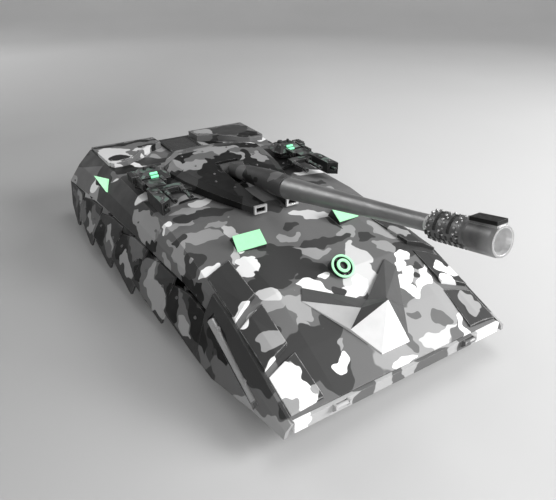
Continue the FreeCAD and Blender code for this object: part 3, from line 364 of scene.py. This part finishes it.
def glow(name, color, strength):
    """Lit mint lens: brighter in the middle of its cells, under a glossy cover."""
    m = Shader(name)
    cells = m.noise(300, 2.0)
    body = m.mix(m.ramp(cells, 0.3, 0.7), tinted(color, 0.88), color)
    m.join(body, m.bsdf.inputs["Emission Color"])
    m.bsdf.inputs["Emission Strength"].default_value = strength
    m.bsdf.inputs["Roughness"].default_value = 0.3
    return m.finish(tinted(color, 0.3), None, m.bump(m.noise(700, 1.0), 0.08, 0.0001))


# patches that have a place of their own: x, station, half width, half length (mm), turn
HULL_PATCHES = [
    (LIGHT, [(24, 18, 48, 20, 10), (-80, 174, 24, 7, -12), (-67, 218, 18, 6, -20), (-59, 183, 12, 4, 8),
             (-70, 73, 17, 7, 10), (-50, 66, 9, 12, 12), (-56, 50, 5, 8, 0), (-14, 135, 10, 6, 0),
             (-10, 112, 19, 6, -20), (-44, 35, 11, 4, -8), (60, 40, 12, 18, 10), (52, 88, 8, 12, 25),
             (36, 122, 12, 9, 20), (70, 112, 10, 16, 0), (-104, 240, 7, 34, 0), (-100, 168, 5, 26, 0),
             (104, 230, 7, 34, 0), (100, 160, 5, 26, 0), (-84, 200, 12, 5, 0), (60, 190, 20, 8, 15)]),
    (MID, [(30, 30, 7, 5, 0), (14, 14, 5, 6, 0), (52, 20, 5, 9, 10), (-30, 12, 7, 9, 0)]),
    (DARK, [(-60, 205, 26, 9, -8), (-93, 147, 9, 12, 0), (-40, 110, 23, 17, 14), (-58, 93, 16, 9, -12),
            (-34, 128, 16, 5, -20), (-24, 90, 17, 12, 20), (8, 118, 24, 6, -6), (33, 144, 3, 16, 0),
            (-62, 34, 24, 17, 20), (-82, 60, 12, 8, 0), (-38, 44, 14, 9, 25), (-52, 14, 14, 12, 0),
            (70, 80, 16, 9, 20), (66, 62, 6, 6, 0), (88, 84, 10, 14, 0), (48, 108, 9, 5, 10),
            (-94, 180, 8, 5, 0), (50, 210, 30, 10, 10), (0, 190, 12, 10, 0)]),
    (PALE, [(24, 158, 22, 8, -30), (-53, 229, 14, 6, 20), (-66, 82, 10, 5, -22), (24, 92, 9, 17, -12),
            (10, 74, 12, 10, 0), (-62, 141, 3, 18, -18), (-52, 167, 4, 14, 14), (40, 9, 20, 4, 0),
            (18, 60, 8, 9, 0)]),
    (WHITE, [(-66, 114, 13, 8, 12), (-60, 126, 5, 8, -8), (-88, 128, 8, 4, 0), (-78, 118, 5, 4, 0),
             (-94, 209, 6, 7, 0), (-44, 22, 5, 9, -28), (-4, 62, 17, 7, 8), (-32, 75, 15, 4, -32),
             (-17, 79, 7, 4, -20), (54, 71, 14, 5, 18), (60, 49, 22, 5, 26), (42, 52, 5, 11, 0),
             (50, 60, 7, 6, 0), (64, 8, 3, 12, -14), (-2, 6, 12, 3, 6)]),
    (DARK, [(-12, 66, 10, 5, -25), (-1, 150, 8, 5, 0), (62, 60, 6, 4, 20)]),
    (BLACK, [(-103, 136, 4, 18, 0), (-109, 216, 3, 14, 0), (104, 140, 4, 20, 0), (109, 220, 3, 14, 0)]),
]
BLOCK_PATCHES = [
    (DARK, [(-86, 58, 14, 12, 0), (-86, 110, 14, 24, 0), (84, 70, 12, 12, 0)]),
    (LIGHT, [(-82, 52, 9, 8, 20), (-95, 10, 6, 10, 0), (-74, 11, 6, 7, 0), (84, 20, 9, 10, 0),
             (80, 104, 9, 10, 0)]),
    (WHITE, [(-86, 22, 12, 15, 12), (-84, 6, 12, 6, 0), (-88, 76, 9, 5, 0), (88, 52, 9, 9, 0),
             (78, 41, 8, 4, 0)]),
    (LIGHT, [(-98, 8, 7, 9, 0), (-73, 12, 4, 6, 0)]),
    (DARK, [(74, 68, 6, 6, 0)]),
]
TURRET_PATCHES = [
    (DARK, [(-17, 200, 7, 30, -10), (-48, 268, 12, 22, -20), (20, 205, 12, 34, 8), (44, 262, 12, 26, 16)]),
    (LIGHT, [(-34, 284, 15, 9, 10), (2, 303, 28, 8, 0), (-50, 292, 7, 8, 0), (36, 274, 7, 14, 12),
             (16, 284, 8, 9, 0)]),
    (MID, [(-20, 294, 18, 7, 0), (30, 292, 16, 8, -10), (50, 286, 8, 12, 0)]),
    (BLACK, [(-24, 262, 9, 17, 10), (-18, 282, 4, 12, -10), (-4, 284, 4, 10, 0), (26, 284, 5, 12, -14),
             (10, 282, 5, 9, 0)]),
]
SLEEVE_PATCHES = [
    (MID, [(-6, 236, 8, 9, 0), (4, 196, 5, 16, 0), (0, 172, 9, 8, 20)]),
    (BLACK, [(-11, 214, 4, 18, -6), (8, 230, 4, 16, 0)]),
    (WHITE, [(-9, 240, 1.8, 1.4, 30)]),
]
EDGE_PATCHES = [
    (WHITE, [(-94, 2, 9, 8, 0), (86, 2, 14, 8, 0)]),
    (MID, [(-38, 2, 10, 8, 0), (24, 2, 18, 8, 0), (-10, 2, 6, 8, 0), (58, 2, 6, 8, 0)]),
]
PANEL_PATCHES = [
    (PALE, [(-86, 396, 19, 26, 0), (-48, 400, 15, 10, -20), (-88, 369, 10, 5, 0)]),
    (BLACK, [(-84, 384, 13, 11, 8), (-44, 409, 9, 6, 0), (-60, 428, 40, 7, 0), (84, 384, 15, 14, 0)]),
    (DARK, [(66, 412, 30, 24, 0)]),
    (LIGHT, [(40, 424, 12, 12, 0)]),
]
# the same on a side face: station, height, half length, half height, tilt
SIDE_PATCHES = [
    (MID, [(420, 30, 12, 9, 0), (385, 26, 20, 11, 20), (338, 30, 22, 10, 25), (288, 24, 18, 9, 25),
           (238, 44, 16, 9, 20), (196, 30, 26, 15, 33), (138, 28, 20, 10, 30), (96, 18, 12, 7, 20),
           (60, 20, 26, 13, 0), (20, 22, 34, 12, 0)]),
    (BLACK, [(368, 38, 16, 8, 25), (316, 26, 17, 8, 30), (264, 34, 18, 9, 30), (218, 30, 13, 6, 30),
             (208, 52, 15, 6, 10), (156, 32, 16, 8, 45), (115, 33, 23, 11, 33), (84, 38, 18, 10, 20),
             (398, 20, 12, 6, 20)]),
    (grey(0.33), [(402, 36, 12, 6, 10), (348, 24, 16, 6, 25), (296, 32, 14, 5, 30), (242, 24, 19, 6, 17),
                  (180, 25, 28, 10, 33), (130, 22, 12, 5, 30), (34, 15, 26, 6, -10), (6, 22, 12, 10, 0)]),
]

mats = {
    "camo": camo("camo_hull", HULL_PATCHES, free=(236.0, (0.35, 0.12, 0.05), 1.0)),
    "camo_block": camo("camo_blocks", BLOCK_PATCHES, DARK, rubbed_and_highlight=1.0, rim=1.3),
    "camo_side": camo("camo_side", SIDE_PATCHES, DARK, upright=True),
    "camo_turret": camo("camo_turret", TURRET_PATCHES, BLACK, (310.0, (2.15, 0.82, 0.45), 0.9), tint=0.8),
    "camo_sleeve": camo("camo_sleeve", SLEEVE_PATCHES, grey(0.05)),
    # the nose plate's base grey is paler than the hull's: painted light on its front face
    "camo_edge": camo("camo_edge", EDGE_PATCHES, grey(0.42)),
    "camo_rear": camo("camo_rear", PANEL_PATCHES, rubbed_and_highlight=0.8, rim=0.9),
    "station": station_paint_and_shading(),
    "chevron": facet_light_and_shade(),
    "dark": plastic("dark_plastic", 0.010, (0.5, 0.65)),
    "wheel": plastic("wheel_plastic", 0.03, (0.4, 0.55)),
    "rubber": plastic("track_rubber", 0.012, (0.6, 0.8), 900, 0.1),
    "gun": metal("gun_metal", grey(0.30), (0.30, 0.42), 0.75, 0.25, (1, 0.2, 1)),
    "brake": brake_metal(),
    "rim": metal("bright_rim", grey(0.80), (0.25, 0.35), 0.5),
    "rail": metal("rail_metal", grey(0.52), (0.3, 0.4), 0.6, 0.25, (1, 0.2, 1)),
    "steel": metal("zinc_steel", grey(0.60), (0.2, 0.35)),
    "brass": metal("gear_brass", (0.72, 0.50, 0.20, 1.0), (0.25, 0.4)),
    "switch": plastic("switch_plastic", 0.30, (0.35, 0.5)),
    "battery": plastic("battery_wrap", 0.05, (0.25, 0.35)),
    "board": plastic("circuit_board", 0.04, (0.3, 0.4)),
    "bolt": metal("bolt_steel", grey(0.16), (0.4, 0.5), 0.5, 0.15),
    "stud": metal("stud_steel", grey(0.42), (0.25, 0.36), 0.8, 0.1),
    "lens": glow("mint_lens", (0.46, 1.0, 0.58, 1.0), 0.85),
    "lens_small": glow("mint_bars", (0.25, 0.95, 0.50, 1.0), 1.1),
}

LOOKS = {
    "camo_edge": ["nose_plate"],
    "station": ["station_gun_left", "station_gun_right", "station_head_left", "station_head_right"],
    "camo": ["upper_hull", "rear_plate"],
    "camo_block": ["glacis_blocks"],
    "camo_rear": ["rear_deck_panels"],
    "camo_side": ["skirt_panels_left", "skirt_panels_right", "fender_plates"],
    "camo_turret": ["turret_shell"],
    "camo_sleeve": ["gun_cradle"],
    "chevron": ["chevron_plate"],
    "brake": ["muzzle_brake"],
    "rail": ["fender_rails"],
    "dark": ["engine_grille", "turret_base", "ring_lamp_housing", "headlight_housings",
             "gearbox_frames", "elevation_servo"],
    "switch": ["power_switch"],
    "gun": ["gun_barrel"],
    "rim": ["cheek_frames"],
    "lens": ["ring_lamp_lens", "headlight_lenses", "side_marker_lenses"],
    "lens_small": ["station_lens_left", "station_lens_right"],
    "steel": ["wheel_axles", "screws", "drive_motors", "traverse_motor"],
    "brass": ["traverse_pinion"],
    "battery": ["battery_pack"],
    "board": ["control_board"],
    "wheel": ["lower_hull", "belly_hatch"],
    "rubber": ["track_left", "track_right"],
}
for side in ("left", "right"):
    LOOKS["brass"] += ["final_gear_" + side, "drive_pinion_" + side]
    LOOKS["wheel"] += ["idler_wheel_" + side, "drive_sprocket_" + side]
    LOOKS["wheel"] += ["road_wheel_%d_%s" % (i, side) for i in range(1, 6)]
for look, names in LOOKS.items():
    for name in names:
        for slot in nodes[name].material_slots:
            slot.material = mats[look]


# ---------------------------------------------------------------- detail pieces
def add_piece(name, bm, look, body):
    """Object made from a bmesh; it rides on a CAD body and has a material of its own."""
    bmesh.ops.recalc_face_normals(bm, faces=bm.faces)
    mesh = bpy.data.meshes.new(name)
    bm.to_mesh(mesh)
    bm.free()
    piece = bpy.data.objects.new(name, mesh)
    bpy.context.collection.objects.link(piece)
    mesh.materials.append(mats[look])
    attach(piece, body)
    return piece


def lofted(bm, matrix, rings, sides, turn=0.0):
    """Closed round solid along local Z from (height, radius) rings."""
    angles = [turn + 2 * math.pi * k / sides for k in range(sides)]
    loops = []
    for height, radius in rings:
        points = [Vector((radius * MM * math.cos(a), radius * MM * math.sin(a), height * MM)) for a in angles]
        loops.append([bm.verts.new(matrix @ point) for point in points])
    for low, high in zip(loops, loops[1:]):
        for k in range(sides):
            j = (k + 1) % sides
            bm.faces.new((low[k], low[j], high[j], high[k]))
    bm.faces.new(list(reversed(loops[0])))
    bm.faces.new(loops[-1])


def block(bm, matrix, low, high, c):
    """Box between two corners, with its upright edges and upper rim chamfered by c."""
    (x0, y0, z0), (x1, y1, z1) = low, high
    rings = []
    for z, inset in ((z0, 0.0), (z1 - c, 0.0), (z1, c)):
        a0, b0, a1, b1 = x0 + inset, y0 + inset, x1 - inset, y1 - inset
        plan = [(a0 + c, b0), (a1 - c, b0), (a1, b0 + c), (a1, b1 - c),
                (a1 - c, b1), (a0 + c, b1), (a0, b1 - c), (a0, b0 + c)]
        rings.append([bm.verts.new(matrix @ (Vector((x, y, z)) * MM)) for x, y in plan])
    for low_ring, high_ring in zip(rings, rings[1:]):
        for k in range(8):
            j = (k + 1) % 8
            bm.faces.new((low_ring[k], low_ring[j], high_ring[j], high_ring[k]))
    bm.faces.new(list(reversed(rings[0])))
    bm.faces.new(rings[-1])


def surface(*names):
    """Search tree over CAD nodes at rest."""
    verts, polys = [], []
    for name in names:
        obj = nodes[name]
        base = len(verts)
        verts += [obj.matrix_world @ v.co for v in obj.data.vertices]
        polys += [[base + k for k in face.vertices] for face in obj.data.polygons]
    return BVHTree.FromPolygons(verts, polys)


def seat(tree, start, way):
    """Frame on the surface met from a point along a direction: origin there, Z along the normal."""
    point, normal, _, _ = tree.ray_cast(start, Vector(way).normalized())
    if point is None:
        return None
    if normal.dot(Vector(way)) > 0:
        normal = -normal
    return Matrix.Translation(point) @ normal.to_track_quat("Z", "Y").to_matrix().to_4x4()


def bolt(bm, matrix, size):
    """Hexagon head on a washer, turned at random; size is the head's radius."""
    washer = [(-0.4 * size, 1.3 * size), (0.22 * size, 1.3 * size), (0.3 * size, 1.2 * size)]
    head = [(0.1 * size, size), (0.85 * size, size), (1.05 * size, 0.78 * size)]
    lofted(bm, matrix, washer, 16)
    lofted(bm, matrix, head, 6, rng.uniform(0, 1))


def bolts(name, tree, starts, way, size, body):
    """One piece of bolts, each on the surface met from its starting point."""
    bm = bmesh.new()
    for x, s, z in starts:
        spot = seat(tree, place(x, s, z), way)
        if spot is not None:
            bolt(bm, spot, size)
    add_piece(name, bm, "bolt", body)


def both_sides(points):
    """Points followed by their mirror images."""
    return points + [(-x, s, z) for x, s, z in points]


def hull_bolts():
    """Bolts of the rear deck panels, the grille and the side armour."""
    deck = surface("upper_hull", "glacis_blocks", "rear_deck_panels", "engine_grille")
    plan = [(28, 433), (62, 433), (95, 433), (93, 376), (79, 373), (48, 403), (29, 413)]
    bolts("deck_bolts", deck, both_sides([(x, s, 120) for x, s in plan]), DOWN, 1.05, "hull")
    grille = [(x, s, 120) for x in (-20, 20) for s in (385, 430)]
    bolts("grille_bolts", surface("engine_grille", "upper_hull"), grille, DOWN, 0.9, "hull")
    for side, word in ((1, "left"), (-1, "right")):
        armour = surface("skirt_panels_" + word)
        starts = []
        for k in range(SCALES):
            middle = SCALE_START + (k + 0.5) * SCALE_PITCH
            height = 40 - 0.02 * middle
            starts += [(side * BESIDE, middle - 16, height), (side * BESIDE, middle + 16, height)]
        bolts("skirt_bolts_" + word, armour, starts, (-side, 0, 0), 1.15, "hull")


def rear_details():
    """Bolts and lamp rims on the rear face."""
    tree = surface("rear_plate", "upper_hull", "lower_hull")
    plan = [(30, 58), (52, 58), (52, 22), (20, 22)]
    bolts("rear_bolts", tree, both_sides([(x, BEHIND, z) for x, z in plan]), FORWARD, 1.3, "hull")
    bm = bmesh.new()
    for x in (-82, 82):
        spot = seat(tree, place(x, BEHIND, 62), FORWARD)
        if spot is not None:
            lofted(bm, spot, [(-1.0, 4.6), (1.6, 4.6), (2.6, 4.0), (2.6, 3.2), (1.2, 3.0)], 24)
    add_piece("rear_lamp_rims", bm, "dark", "hull")


def turret_details():
    """Bolts of the turret's roof and shoulders."""
    shell = surface("turret_shell")
    roof = [(24, 256), (33, 280), (38, 304), (26, 322), (14, 305), (30, 240), (20, 220)]
    shoulders = [(60, 262), (84, 268), (92, 285), (84, 312), (58, 318)]
    for name, plan, size in (("turret_bolts", roof, 0.95), ("shoulder_bolts", shoulders, 0.9)):
        bolts(name, shell, both_sides([(x, s, ABOVE) for x, s in plan]), DOWN, size, "turret")


def gun_frame(distance, around, radius):
    """Frame on the gun from a distance to the pivot, an angle round the bore and a radius.

    The angle is 0 on the left and 90 on top."""
    turn = Matrix.Rotation(-math.radians(GUN_TILT), 4, "X")
    a = math.radians(around)
    local = Vector((radius * math.cos(a), -distance, radius * math.sin(a) - GUN_DROP)) * MM
    out = Vector((math.cos(a), 0.0, math.sin(a)))
    base = Matrix.Translation(place(0.0, *TRUNNION)) @ turn
    return base @ Matrix.Translation(local) @ out.to_track_quat("Z", "Y").to_matrix().to_4x4()


def gun_details():
    """Rings of studs round the muzzle brake, lugs between them and rows of lugs below."""
    bm = bmesh.new()
    for ring in (276.5, 286.5, 296.5):
        for k in range(9):
            for shift, size in ((-1.0, 0.85), (1.4, 0.6)):
                distance = ring + shift + rng.uniform(-0.3, 0.3)
                spot = gun_frame(distance, 2 + 22 * k + 5 * shift, BRAKE_RADIUS)
                lofted(bm, spot, [(-0.6, 1.05 * size), (0.3, 1.0 * size), (0.75, 0.75 * size), (1.0, 0.3)], 10)
    add_piece("brake_studs", bm, "stud", "gun")
    bm = bmesh.new()
    for ring in (281.5, 291.5):
        for k in range(9):
            block(bm, gun_frame(ring, 12 + 19.5 * k, BRAKE_RADIUS), (-1.1, -1.5, -0.5), (1.1, 1.5, 0.45), 0.3)
    for row in range(7):
        for k in range(8):
            stagger = 1.6 if k % 2 else 0.0
            spot = gun_frame(274.5 + 3.9 * row + stagger, 198 + 20 * k, 8.7 if row else 8.2)
            block(bm, spot, (-0.8, -1.5, -0.5), (0.8, 1.5, 0.4), 0.25)
    add_piece("brake_lugs", bm, "dark", "gun")


def station_details():
    """Bolts, cooling fins and roof caps of the two weapon stations."""
    for side, word in ((1, "left"), (-1, "right")):
        body = "station_" + word
        head = surface("station_head_" + word)
        x, s = side * STATION[0], STATION[1]
        plan = [(-9, -1), (10, 0), (0, 12), (-12, 8)]
        starts = [(x + side * dx, s + ds, ABOVE) for dx, ds in plan]
        bolts("station_bolts_" + word, head, starts, DOWN, 1.0, body)
        bm = bmesh.new()
        low, high = sorted((side * 95.0, side * 99.6))
        for k in range(4):
            front = 281.0 + 3.2 * k
            block(bm, Matrix.Translation(place(0, 0, 0)), (low, front, 88.4), (high, front + 1.5, 95.6), 0.25)
        add_piece("station_fins_" + word, bm, "dark", body)
        bm = bmesh.new()
        spot = seat(head, place(x - side * 4, s + 7, ABOVE), DOWN)
        lofted(bm, spot, [(-1.0, 3.0), (1.6, 3.0), (2.2, 2.5), (2.6, 1.4)], 20)
        spot = seat(head, place(x + side * 5, s + 5, ABOVE), DOWN)
        lofted(bm, spot, [(-1.0, 1.6), (2.8, 1.5), (3.2, 1.1)], 16)
        add_piece("station_caps_" + word, bm, "dark", body)
        starts = [(x + side * 12.5, station, ABOVE) for station in (222, 236)]
        bolts("shroud_bolts_" + word, surface("station_gun_" + word), starts, DOWN, 0.8,
              "station_gun_%s_mount" % word)


def belt_path():
    """Middle line of a track as (station, height, direction) of every link, and the links' pitch."""
    half_belt = 2.25
    arc_steps = 40
    wished_pitch = 10.0
    # first and last road wheel, sprocket and idler, which the belt goes round in this order
    wheels = [(122.0, 24.25, 20.0), (366.0, 24.25, 20.0), (412.0, 38.0, 17.0), (78.0, 32.0, 15.0)]
    circles = [(s, z, r + half_belt) for s, z, r in wheels]
    # the straight runs between them, as the angle of their outer side and their two ends
    ends = []
    for (s0, z0, r0), (s1, z1, r1) in zip(circles, circles[1:] + circles[:1]):
        way = math.atan2(z1 - z0, s1 - s0)
        out = way - math.acos((r0 - r1) / math.hypot(s1 - s0, z1 - z0))
        ends.append((out, (s0 + r0 * math.cos(out), z0 + r0 * math.sin(out)),
                     (s1 + r1 * math.cos(out), z1 + r1 * math.sin(out))))
    points = []
    for k, (out, start, end) in enumerate(ends):
        for i in range(arc_steps):
            t = i / arc_steps
            points.append((start[0] + (end[0] - start[0]) * t, start[1] + (end[1] - start[1]) * t))
        s, z, r = circles[(k + 1) % 4]
        after = ends[(k + 1) % 4][0]
        while after < out:
            after += 2 * math.pi
        for i in range(arc_steps):
            a = out + (after - out) * i / arc_steps
            points.append((s + r * math.cos(a), z + r * math.sin(a)))
    lengths = [math.dist(a, b) for a, b in zip(points, points[1:] + points[:1])]
    count = round(sum(lengths) / wished_pitch)
    pitch = sum(lengths) / count
    path, reached, k = [], 0.0, 0
    for i in range(count):
        target = i * pitch
        while reached + lengths[k] < target:
            reached += lengths[k]
            k += 1
        a, b = points[k], points[(k + 1) % len(points)]
        t = (target - reached) / lengths[k]
        way = math.atan2(b[1] - a[1], b[0] - a[0])
        path.append((a[0] + (b[0] - a[0]) * t, a[1] + (b[1] - a[1]) * t, way))
    return path, pitch


def tracks():
    """Track links in place of the plain belts: pads with a raised bar, joined by pin lugs."""
    path, pitch = belt_path()
    half = pitch / 2
    pin_lugs = ((-13.0, -10.2), (-1.5, 1.5), (10.2, 13.0))
    for side, word in ((1, "left"), (-1, "right")):
        bm = bmesh.new()
        for s, z, way in path:
            # local X is across the track, Y along it and Z out of the loop
            along = Vector((0, math.cos(way), math.sin(way)))
            out = Vector((0, math.sin(way), -math.cos(way)))
            turn = Matrix((Vector((1, 0, 0)), along, out)).transposed().to_4x4()
            spot = Matrix.Translation(place(TRACK_X * side, s, z)) @ turn
            block(bm, spot, (-12.6, -half + 0.9, -1.9), (12.6, half - 0.9, 0.9), 0.5)
            block(bm, spot, (-11.4, -1.3, 0.4), (11.4, 1.3, 1.95), 0.45)
            for low, high in pin_lugs:
                block(bm, spot, (low, -half - 0.2, -1.4), (high, -half + 1.6, 0.6), 0.35)
        links = add_piece("track_links_" + word, bm, "rubber", "hull")
        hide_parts("track_" + word)


# ---------------------------------------------------------------- studio
def studio():
    """Round pale floor that curves up into a backdrop all the way round."""
    # radius and height in metres
    profile = [(0.6, 0.0), (1.2, 0.0), (1.8, 0.0), (2.1, 0.04), (2.3, 0.15), (2.45, 0.35), (2.5, 0.65),
               (2.5, 1.2), (2.5, 2.2)]
    turns = 64
    verts = [(0.0, 0.0, 0.0)]
    for radius, height in profile:
        for k in range(turns):
            a = 2 * math.pi * k / turns
            verts.append((radius * math.cos(a), radius * math.sin(a), height))
    faces = [(0, 1 + k, 1 + (k + 1) % turns) for k in range(turns)]
    for ring in range(len(profile) - 1):
        low, high = 1 + ring * turns, 1 + (ring + 1) * turns
        for k in range(turns):
            j = (k + 1) % turns
            faces.append((low + k, high + k, high + j, low + j))
    floor_mesh = bpy.data.meshes.new("floor")
    floor_mesh.from_pydata(verts, [], faces)
    floor_mesh.shade_smooth()
    floor = bpy.data.objects.new("floor", floor_mesh)
    bpy.context.collection.objects.link(floor)
    # painted shade: a little darker on the right flank's side; painted light: paler far away
    m = Shader("studio_floor")
    m.bsdf.inputs["Specular IOR Level"].default_value = 0.15
    x, y, _ = m.split()
    across = m.math("SUBTRACT", x, m.math("MULTIPLY", y, 0.6))
    painted_light_and_shade = m.mix(m.ramp(across, -0.35, 0.15), grey(0.33), grey(0.53))
    painted_light_and_shade = m.mix(m.ramp(m.length(m.coords), 0.6, 1.5), painted_light_and_shade, grey(0.61))
    cloudy = m.ramp(m.noise(3, 2.0), 0.3, 0.7, 0.0, 0.2)
    floor_mesh.materials.append(m.finish(m.mix(cloudy, painted_light_and_shade, grey(0.48)), 0.75))
    world = bpy.data.worlds.new("studio")
    world.use_nodes = True
    background = world.node_tree.nodes["Background"]
    background.inputs[0].default_value = grey(0.55)
    background.inputs[1].default_value = 0.30
    bpy.context.scene.world = world
    bpy.context.scene.view_settings.view_transform = "Standard"


def area_light(name, position, target, size, power):
    """Square soft light aimed at a point: metres and watts."""
    data = bpy.data.lights.new(name, "AREA")
    data.size = size
    data.energy = power
    lamp = bpy.data.objects.new(name, data)
    lamp.location = position
    lamp.rotation_euler = (Vector(target) - Vector(position)).to_track_quat("-Z", "Y").to_euler()
    bpy.context.collection.objects.link(lamp)


def camera():
    """Camera in front of the right front corner and above it."""
    data = bpy.data.cameras.new("camera")
    data.lens = 33.345
    data.sensor_width = 36.0
    data.clip_start = 0.01
    cam = bpy.data.objects.new("camera", data)
    cam.location = place(-219.78, -182.77, 280.02)
    cam.rotation_euler = (math.radians(59.945), 0.0, math.radians(-31.530))
    bpy.context.collection.objects.link(cam)
    bpy.context.scene.camera = cam


hull_bolts()
rear_details()
turret_details()
gun_details()
station_details()
tracks()
studio()
# name, place, aim, size, power
area_light("key", (1.10, -0.95, 0.80), (0.0, -0.1, 0.05), 0.7, 36.0)
area_light("top", (0.6, 0.2, 1.5), (0.1, 0.0, 0.05), 0.9, 8.0)
area_light("front", (-0.55, -1.4, 0.60), (0.0, -0.15, 0.05), 0.6, 10.0)
area_light("rear", (-0.6, 1.5, 0.9), (0.0, 0.1, 0.05), 0.9, 7.0)
camera()
